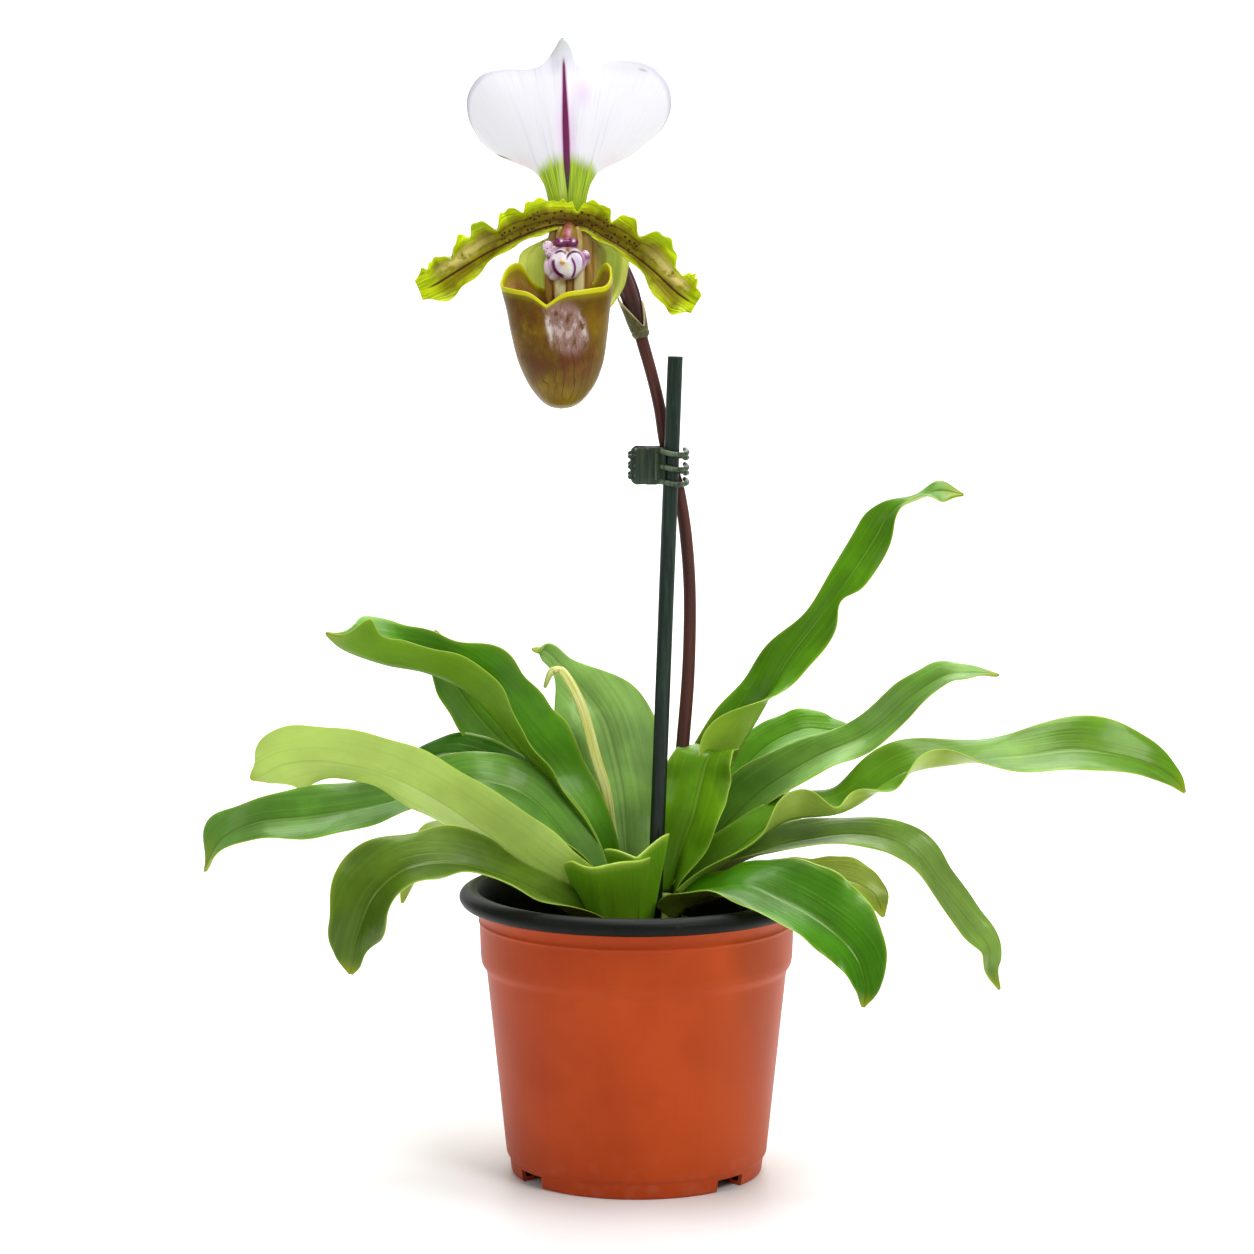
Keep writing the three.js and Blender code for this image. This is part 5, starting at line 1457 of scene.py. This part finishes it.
# A knuckle's rings: how wide each is, and how high
KNUCKLE_RINGS = ((0.9, 0), (1, 0.25), (1, 1.75), (0.9, 2))
GRIP_ROWS = [[-7.3, 6.5], [-6.8, 6.4], [-6.2, 6.1], [-5.6, 5.9]]
GRIP_HEIGHTS = (3.0, 6.4, 9.8)
GRIP = 0.8
BEAD_AT = (1.5, 3.9)
BEAD_HEIGHTS = (2.2, 6, 9.8)
BEAD = 0.42
PIN_HEIGHTS = (0.4, 12.4)
PIN = 0.7
SPRING_TURNS = 3.0
SPRING_HEIGHT = 4.9


def on_clip(side, x, y, z):
    """A place on the clip: x and y from its hinge, with y towards a jaw's side, and z from its foot."""
    return CLIP_HINGE[0] + x, CLIP_HINGE[1] + side * y, CLIP_FOOT + z


def clip_plate(side):
    """A thumb plate with rounded corners at its free end."""
    share, most = PLATE_CORNER

    def place(along, across):
        x, y = np.moveaxis(row_at(PLATE_ROWS, along), -1, 0)
        corner = 1 - np.sqrt(np.clip(1 - np.clip(1 - along / share, 0, 1) ** 2, 0, 1))
        tall = CLIP_HEIGHT / 2 - most * corner - PLATE_MARGIN
        return vector(*on_clip(side, x, y, CLIP_HEIGHT / 2 + across * tall))

    return blade(place, 60, 40, PLATE)


def clip_claw(side, level):
    """A round claw that bends round stake and stem. Those of the front jaw dip in the middle."""
    rows = []
    for share in np.linspace(0, 1, 12):
        angle = math.radians(np.interp(share, (0, 1), CLAW_TURN))
        x, y = CLAW_MIDDLE + CLAW_REACH[0] * math.cos(angle), CLAW_REACH[1] * math.sin(angle)
        dip = CLAW_DIP * math.sin(math.pi * share) if side < 0 else 0
        rows.append([*on_clip(side, x, y, level - dip), np.interp(share, (0, 1), CLAW_RADII)])
    return stalk(rows, 18, 60, paint=1)


def clip_knuckle(side, level):
    """The eye round the pin, joined to the plate."""
    outline = [[KNUCKLE, KNUCKLE_DEPTH], [-KNUCKLE, KNUCKLE_DEPTH]]
    for turn in np.linspace(0, math.pi, 17):
        outline.append([KNUCKLE * math.cos(turn), -KNUCKLE * math.sin(turn)])
    x, y = np.array(outline[::-1] if side > 0 else outline).T
    rings = [vector(*on_clip(side, x * size, y * size, level + height)) for size, height in KNUCKLE_RINGS]
    return tube(np.array(rings))


def clip_grips(side):
    """Ribs across the free end of a plate."""
    return [stalk([[*on_clip(side, x, y, level), GRIP] for x, y in GRIP_ROWS], 12, 12)
            for level in GRIP_HEIGHTS]


def clip_bead(side):
    """A rib that stands up the middle of a plate."""
    return stalk([[*on_clip(side, *BEAD_AT, height), BEAD] for height in BEAD_HEIGHTS], 12, 16, paint=1)


def make_spring():
    """A coil of steel wire round the hinge pin."""
    rule = Rule("spring", Turns=SPRING_TURNS, Radius=1.4 * MM, Rise=3.0 * MM, Wire=0.32 * MM)
    coil = rule.node("GeometryNodeCurveSpiral", {
        "Resolution": 40, "Rotations": rule.input("Turns"), "Start Radius": rule.input("Radius"),
        "End Radius": rule.input("Radius"), "Height": rule.input("Rise"),
    })
    ring = rule.node("GeometryNodeCurvePrimitiveCircle", {"Resolution": 12, "Radius": rule.input("Wire")})
    wire = rule.node("GeometryNodeCurveToMesh", {"Curve": coil, "Profile Curve": ring, "Fill Caps": True})
    centre = tuple(value * MM for value in on_clip(1, 0, 0, SPRING_HEIGHT))
    rule.end(rule.node("GeometryNodeTransform", {"Geometry": wire, "Translation": centre}), steel)
    spring = rule.grow(bpy.data.meshes.new("spring start"))
    settled("clip_spring_coil", spring, "plant", "clip_spring")


def make_clip():
    """The claw clip's two jaws, its hinge pin and its spring."""
    greens = [green_plastic_paint("clip plastic", (26, 40, 26), (50, 66, 46)),
              green_plastic_paint("claw plastic", (44, 58, 40), (92, 108, 82))]
    for name, (body, side, claws, knuckles) in JAWS.items():
        parts = [clip_plate(side), *clip_grips(side)]
        parts += [clip_claw(side, level) for level in claws]
        parts += [clip_knuckle(side, level) for level in knuckles]
        parts.append(clip_bead(side))
        piece(name + "_plastic", parts, greens, name, body, sharp=50)
    pin = stalk([[*on_clip(1, 0, 0, height), PIN] for height in PIN_HEIGHTS], 24, 6, rounding=0.3)
    piece("clip_pin_wire", [pin], [steel], "clip_pin")
    make_spring()


# ---------------------------------------------------------------- flower

PETAL = 0.8
DORSAL_BASE = (-23, -5.5)
# A dorsal rib's curve before it meets the outline, as [half width, height, lift of the sides]: at
# the base, at the waist, and at the lobes
DORSAL_RIBS = [[6, 324.6, 0], [7.2, 342, 3], [16.5, 362, -25.5]]
DORSAL_OUTLINE = [
    [-51.8, 347.8], [-55.6, 355.5], [-55.8, 363.5], [-51.4, 370], [-44.6, 372.2], [-34.6, 372.4],
    [-30.2, 374.4], [-27.4, 378.2], [-24.5, 382.2], [-21.9, 379.2], [-20.2, 374.6], [-16.4, 372.8],
    [-10.5, 374.2], [-3.2, 375.2], [4.4, 373.4], [10, 367.6], [11.4, 359.4], [8.4, 352.2], [4.3, 348.8],
]
DORSAL_ARCH = 4.5
HOOD_MIDDLE = -24.3
HOOD_DEPTH = 3.4
SYNSEPAL_ROWS = [
    [-21.5, -4.5, 318.2, 9], [-20.8, -3.4, 313.5, 17.4], [-21.1, -2.6, 306, 18], [-21.4, -3, 299, 16],
    [-21.6, -4.4, 291, 10], [-22, -6, 284, 1],
]


def dorsal_place(along, across):
    """Ribs fan out from the narrow base to the outline, and the tip is hooded."""
    rim = row_at(DORSAL_OUTLINE, (across + 1) / 2)
    keep = 1 - along
    x = along**3 * rim[..., 0]
    z = along**3 * rim[..., 1]
    for pull, (half, height, lift) in zip((keep**3, 3 * keep**2 * along, 3 * keep * along**2), DORSAL_RIBS):
        x = x + pull * (DORSAL_BASE[0] + half * across)
        z = z + pull * (height + lift * across**2)
    arch = -DORSAL_ARCH * np.sin(0.85 * np.pi * along)
    backwards = 9 * along * across**4
    pleat = 0.8 * along * (1 - along**3) * np.cos(3 * np.pi * across) * (1 - across**2)
    ripple = 0.35 * along**6 * np.sin(7 * np.pi * across + 0.6) * (1 - bell(across, 0, 0.1))
    rib = -0.5 * bell(x, DORSAL_BASE[0], 0.9) * smooth(along, 0.05, 0.3)
    hood = -HOOD_DEPTH * bell(x, HOOD_MIDDLE, 3.6) * smooth(z, 374, 382)
    return vector(x, DORSAL_BASE[1] + arch + backwards + pleat + ripple + rib + hood, z)


def synsepal_place(along, across):
    """The two lower sepals grown together: a pleated shield, cupped round the pouch's back."""
    x, y, z, half = np.moveaxis(row_at(SYNSEPAL_ROWS, along), -1, 0)
    pleat = 0.25 * np.cos(8 * np.pi * across)
    return vector(x + half * across, y - 5 * across**2 + pleat, z - 2 * across**2 * (1 - along))


def make_sepals():
    dorsal = blade(dorsal_place, 110, 260, PETAL, even=True)
    piece("dorsal_sepal_blade", [dorsal], [dorsal_paint()], "dorsal_sepal")
    lower = blade(synsepal_place, 80, 90, PETAL, even=True)
    piece("synsepal_blade", [lower], [synsepal_paint()], "synsepal")


# Each petal's rows of [x, y, z, half width above, half width below] from its base, and the notches
# of its upper edge: [share along, depth, half width as a share]
PETALS = {
    "petal_left": ([
        [-22.3, -9.4, 321, 6, 3], [-27, -10.3, 320.9, 8, 3.4], [-34, -12, 318.9, 9.2, 3.6],
        [-42, -14, 315.4, 9.4, 3.4], [-51, -16, 310.8, 8.8, 4.2], [-59, -17.5, 306, 9, 6.2],
        [-66, -18.5, 301.8, 7, 6.6], [-71.4, -19, 299.6, 2.6, 2.6],
    ], [
        [0.13, 1.4, 0.03], [0.3, 3.6, 0.022], [0.385, 1.4, 0.018], [0.455, 5.4, 0.028],
        [0.57, 2.8, 0.022], [0.7, 5.6, 0.05], [0.79, 1.6, 0.03], [0.85, 2.8, 0.024],
    ]),
    "petal_right": ([
        [-21.3, -9.4, 321, 6, 3], [-16.6, -10.2, 320.2, 8, 3.4], [-10.5, -11.4, 316.8, 9.2, 3.4],
        [-3, -13.5, 312.4, 9.6, 3.4], [5, -15.5, 306.4, 9.4, 4.6], [12, -17, 300, 8.4, 7],
        [16, -17.8, 297, 6, 6.4], [19.3, -18.5, 295, 2.6, 2.6],
    ], [
        [0.055, 3.6, 0.026], [0.2, 1.0, 0.018], [0.272, 5.6, 0.028], [0.43, 4.2, 0.036],
        [0.67, 5.6, 0.055], [0.9, 1.2, 0.03],
    ]),
}
NOTCH_CURL = 3.0
LOWER_WAVES = 5.2
FINE_CRIMPS = 17
UPPER_CRIMPS = 14
PETAL_CUP = 2.2


def ruffles(along, across, notches):
    """How far a petal's edges move up or down, and forwards, at each point."""
    edge = np.abs(across) ** 3
    phase = 2 * np.pi * LOWER_WAVES * along
    cut = sum(depth * bell(along, share, half) for share, depth, half in notches)
    curl = sum((-1) ** number * NOTCH_CURL * bell(along, share + 0.01, 1.5 * half)
               for number, (share, _, half) in enumerate(notches))
    fine = 0.2 * np.sin(2 * np.pi * FINE_CRIMPS * along) * edge
    crimp = 0.5 * np.sin(2 * np.pi * UPPER_CRIMPS * along + 3 * np.sin(9 * along))
    top = edge * (crimp * (1 - smooth(along, 0.8, 1)) - cut)
    bottom = -edge * 0.5 * np.sin(phase) * (0.5 + along)
    flare = np.where(across > 0, curl, 1.3 * np.cos(phase) * (0.4 + along))
    forwards = (edge * flare + fine - PETAL_CUP * across**2) * np.minimum(1, 5 * along)
    return np.where(across > 0, top, bottom), forwards


def petal_place(rows, notches):
    """A petal with its broad side above: across runs from its lower edge to its ruffled upper edge."""
    outwards = np.sign(rows[-1][0] - rows[0][0])

    def place(along, across):
        point, direction = run_at(rows, along)
        above, below = np.moveaxis(row_at(rows, along)[..., 3:], -1, 0)
        rise = unit(vector(-direction[..., 2], 0, direction[..., 0]))
        rise = rise * np.sign(rise[..., 2:])
        top = above + 1.1 + 1.2 * bell(along, 0.53, 0.05)
        bottom = below * (0.5 + 0.4 * smooth(along, 0.35, 0.7))
        ruffle, forwards = ruffles(along, across, notches)
        offset = across * np.where(across > 0, top, bottom) + ruffle
        moved = point + rise * offset[..., None]
        moved[..., 0] -= outwards * 1.5 * (1 - smooth(along, 0, 0.06))
        moved[..., 1] += forwards
        return moved

    return place


def make_petals():
    """Both petals. The value seen is 1 on the side that faces the front."""
    for name, (rows, notches) in PETALS.items():
        skin = blade(petal_place(rows, notches), 300, 56, PETAL, groove=0.15, keel=0.3)
        face = skin["values"].pop("face")
        skin["values"]["seen"] = 1 - face if name == "petal_left" else face
        piece(name + "_blade", [skin], [petal_paint(name + " finish")], name)


# The pouch's levels, from its rim down: [height, x, y, half width, half depth]
POUCH_ROWS = [
    [301, -26.3, -24.5, 18.5, 12.6], [294, -25.8, -25, 17, 13.2], [286, -25.4, -25.5, 15.8, 13],
    [277, -24.9, -26, 14, 12], [269.5, -24.6, -26, 10.9, 10.2], [264.4, -24.6, -26, 7, 7],
    [262.2, -24.7, -26, 3.8, 3.6], [261.4, -24.8, -26, 0, 0],
]
# The height of its rim, at even turns from the front round to the back
POUCH_RIM = [[295.4], [299.2], [300.2], [300.8], [301.4], [303.6], [307.4], [308], [302], [300.5], [311.5]]
POUCH_TURN = -0.17
POUCH_WALL = 0.9
POUCH_SIDES = 220
POUCH_LEVELS = 90
POUCH_HEIGHT = 44.0
LIP_RINGS = 5
LIP_HEIGHT = 0.55


def pouch_point(turn, down, inset):
    """A point of the pouch's wall. Its rim has an ear on each side, and curls in behind it."""
    from_front = np.where(turn > 0.5, 1 - turn, turn) * 2
    z, x, y, half_width, half_depth = np.moveaxis(row_at(POUCH_ROWS, down), -1, 0)
    rim = row_at(POUCH_RIM, from_front)[..., 0]
    fade = np.maximum(0, 1 - down / 0.36) ** 2
    angle = 2 * np.pi * turn + POUCH_TURN
    ear = 0.9 * fade * bell(from_front, 0.64, 0.14)
    curl = 1.6 * bell(down, 0, 0.035) * bell(from_front, 0.68, 0.16)
    return vector(
        x + np.maximum(half_width + ear - curl - inset, 0) * np.sin(angle),
        y - np.maximum(half_depth - curl - inset, 0) * np.cos(angle),
        z + (rim - POUCH_ROWS[0][0]) * fade + inset * down**3,
    )


def pouch_lip(turn):
    """The rings of the rim's round lip, from outside to inside."""
    rings = []
    for angle in np.linspace(0, np.pi, LIP_RINGS + 2)[1:-1]:
        inset = POUCH_WALL * (1 - math.cos(angle)) / 2
        rings.append(pouch_point(turn, np.zeros_like(turn), inset) + [0, 0, LIP_HEIGHT * math.sin(angle)])
    return rings


def make_pouch():
    """The outer wall from its bottom up, the round rim, and the inner wall down again."""
    turn = np.linspace(0, 1, POUCH_SIDES, endpoint=False)[None, :]
    down = np.linspace(0.999, 0, POUCH_LEVELS)[:, None] ** 1.15
    turn_grid, down_grid = np.broadcast_arrays(turn, down)
    outer = pouch_point(turn_grid, down_grid, 0)
    inner = pouch_point(turn_grid, down_grid[::-1], POUCH_WALL)
    rings = np.concatenate([outer, *pouch_lip(turn), inner])
    outside = np.concatenate([np.ones(POUCH_LEVELS), np.linspace(1, 0, LIP_RINGS), np.zeros(POUCH_LEVELS)])
    depth = np.concatenate([down[:, 0], np.zeros(LIP_RINGS), down[::-1, 0]])
    shell = tube(rings, outside=outside[:, None], rim=depth[:, None] * POUCH_HEIGHT)
    shares = np.array(shell["corners"])
    shares[:, 0] = np.interp(shares[:, 0] * (len(rings) - 1), np.arange(len(rings)), depth)
    shell["corners"] = shares
    piece("pouch_slipper", [shell], [pouch_paint()], "pouch")


SHIELD_Y = -19.6
SHIELD_HALF_WIDTH = 5.9
SHIELD_HALF_HEIGHT = 5.5
SHIELD_HALF_DEPTH = 1.9
SHIELD_RINGS = 40
SHIELD_SIDES = 96
COLUMN_ROWS = [
    [-22.3, -9.4, 320.6, 1.4], [-22.3, -12, 319.6, 2.2], [-22.5, -15, 317.4, 3], [-22.7, -17, 314.6, 3.2],
]
# Rounded lumps as [x, y, z, half width, half depth, half height]: the knobs over the shield, its
# winglets and lobes, the flaps on both sides of the column, and the folds below the shield
KNOBS = [[x, -20.4, 315.6, half, 1.3, tall]
         for x, half, tall in ((-25.2, 2.1, 1.6), (-21.0, 1.9, 1.6), (-23.4, 3.6, 1.1))]
LOBES = [
    [-29.2, -18.6, 314.2, 1.8, 0.7, 1.9], [-27.9, -18.6, 312.2, 2.3, 0.7, 2.3],
    [-28.9, -18.4, 307.6, 1.7, 1.0, 3.0], [-27.0, -18.0, 304.8, 2.2, 1.0, 1.8],
    [-17.0, -18.2, 310.4, 1.7, 1.1, 2.6],
]
FLAPS = [
    [-27.4, -9.8, 313.5, 2.2, 1.3, 7.2], [-25.1, -12, 315.2, 1.7, 2, 5.4], [-19.6, -12, 315.2, 1.8, 2, 5.4],
    [-16.9, -9.8, 313.2, 2.2, 1.3, 7.6], [-14.4, -9, 309, 1.5, 1.1, 7],
]
FOLDS = [[x, -16.2, 303.0, half, deep, 7.6]
         for x, half, deep in ((-29.0, 1.4, 1.1), (-25.4, 2.5, 1.9), (-22.1, 1.1, 1.3), (-18.9, 2.3, 1.9),
                               (-15.9, 1.3, 1.2))]


def lump(x, y, z, half_width, half_depth, half_height, **values):
    """A rounded lump, as a closed skin."""
    turn = np.linspace(-np.pi / 2, np.pi / 2, 24)[1:-1, None]
    angle = turns(32)
    wide, deep = half_width * np.cos(turn) * np.cos(angle), half_depth * np.cos(turn) * np.sin(angle)
    return tube(vector(x + wide, y + deep, z + half_height * np.sin(turn)), **values)


def shield_skin():
    """A round shield that faces the front: domed, notched at the top and dimpled in the middle."""
    angle = turns(SHIELD_SIDES)[::-1]
    turn = np.linspace(0.02, np.pi - 0.02, SHIELD_RINGS)[:, None]
    outline = 1 - 0.1 * bell(angle, np.pi / 2, 0.2) + 0.03 * np.cos(4 * angle)
    x = SHIELD_HALF_WIDTH * np.sin(turn) * outline * np.cos(angle)
    z = SHIELD_HALF_HEIGHT * np.sin(turn) * outline * np.sin(angle)
    thick = -SHIELD_HALF_DEPTH * np.cos(turn)
    dimple = 0.9 * bell(x, 0, 1.4) * bell(z, 3.4, 1.8) + 0.4 * bell(x, 1.2, 0.8) * bell(z, -1, 2.4)
    tooth = bell(x, -1.7, 0.8) * bell(z, 0.4, 0.8)
    y = SHIELD_Y + thick + (dimple - tooth + 0.06 * z) * smooth(-thick, 0.2, 1.2)
    return tube(vector(SHIELD_AT[0] + x, y, SHIELD_AT[1] + z), shield=1.0)


def make_column():
    """The column with its shield, knobs, winglets and lobes in front, and the folds below."""
    parts = [shield_skin(), stalk(COLUMN_ROWS, 32, 20, column=1.0)]
    parts += [lump(*row, knob=1.0) for row in KNOBS] + [lump(*row) for row in LOBES]
    piece("staminode_shield", parts, [shield_paint()], "staminode")
    piece("staminode_folds", [lump(*row) for row in FOLDS + FLAPS], [stigma_paint()])


# ---------------------------------------------------------------- studio

# Sizes and places in metres. The sweep runs back over the floor, bends, and stands up behind.
SWEEP_FRONT = -2.5
SWEEP_BACK = 1.2
SWEEP_BEND = 0.6
SWEEP_TOP = 3.2
SWEEP_HALF_WIDTH = 3.0
DAYLIGHT = 0.3
# Each soft light: its place, the point that it shines at, its size, and its power in watts
LIGHTS = {
    "key": ((0.8, -1.0, 1.2), (0.0, 0.0, 0.18), 0.6, 10.0),
    "fill": ((-1.2, -1.0, 0.9), (0.0, 0.0, 0.2), 0.8, 3.5),
    "top": ((0.15, -0.05, 1.5), (0.0, 0.0, 0.1), 0.9, 15.0),
    "backdrop": ((0.0, 1.0, 1.5), (0.0, 1.6, 0.1), 1.4, 26.0),
}
CAMERA_AT = (-0.00325, -1.3674, 0.3589)
CAMERA_TILT = 7.2
LENS = 117.7
SENSOR = 36.0


def make_sweep():
    """A pale sweep of paper: floor and backdrop in one."""
    paper = Paint("paper sweep")
    grain = paper.noise(paper.place(), 0.02, 2.0)
    paper.finish(paper.mix(grain, srgb(244, 244, 244), srgb(249, 249, 249)), 0.5)
    profile = [[SWEEP_FRONT, 0], [SWEEP_BACK, 0]]
    profile += [[SWEEP_BACK + SWEEP_BEND * math.sin(turn), SWEEP_BEND * (1 - math.cos(turn))]
                for turn in np.linspace(0.1, math.pi / 2, 12)]
    profile.append([SWEEP_BACK + SWEEP_BEND, SWEEP_TOP])
    points = [(side * SWEEP_HALF_WIDTH, y, z) for y, z in profile for side in (-1, 1)]
    faces = [(2 * k, 2 * k + 1, 2 * k + 3, 2 * k + 2) for k in range(len(profile) - 1)]
    mesh = bpy.data.meshes.new("sweep")
    mesh.from_pydata(points, [], faces)
    mesh.materials.append(paper.material)
    mesh.shade_smooth()
    loose_object("sweep", mesh)


def make_light(name, place, target, size, power):
    light = bpy.data.lights.new(name, "AREA")
    light.shape = "DISK"
    light.size = size
    light.energy = power
    lamp = loose_object(name, light)
    lamp.location = place
    way = [target[k] - place[k] for k in range(3)]
    flat_way = math.hypot(way[0], way[1])
    lamp.rotation_euler = (math.atan2(flat_way, -way[2]), 0, math.atan2(way[1], way[0]) - math.pi / 2)


def make_daylight():
    world = bpy.data.worlds.new("studio")
    world.use_nodes = True
    background = world.node_tree.nodes["Background"]
    background.inputs["Color"].default_value = (1, 1, 1, 1)
    background.inputs["Strength"].default_value = DAYLIGHT
    bpy.context.scene.world = world
    bpy.context.scene.view_settings.view_transform = "Standard"


def make_camera():
    lens = bpy.data.cameras.new("camera")
    lens.lens = LENS
    lens.sensor_width = SENSOR
    camera = loose_object("camera", lens)
    camera.location = CAMERA_AT
    camera.rotation_euler = (math.radians(90 - CAMERA_TILT), 0, 0)
    bpy.context.scene.camera = camera


# ---------------------------------------------------------------- assembly

terracotta = pot_paint()
black_plastic = black_plastic_paint()
bark = bark_paint("bark chips", (58, 38, 26), (98, 68, 46))
dark_bark = bark_paint("dark bark", (34, 24, 18), (58, 42, 30))
roots = root_paint()
steel = steel_paint()

make_sweep()
make_daylight()
for light_name, settings in LIGHTS.items():
    make_light(light_name, *settings)
make_camera()
make_pot()
make_mix()
make_crown()
make_leaves()
make_shoot()
make_stem()
make_stake()
make_clip()
make_sepals()
make_petals()
make_pouch()
make_column()
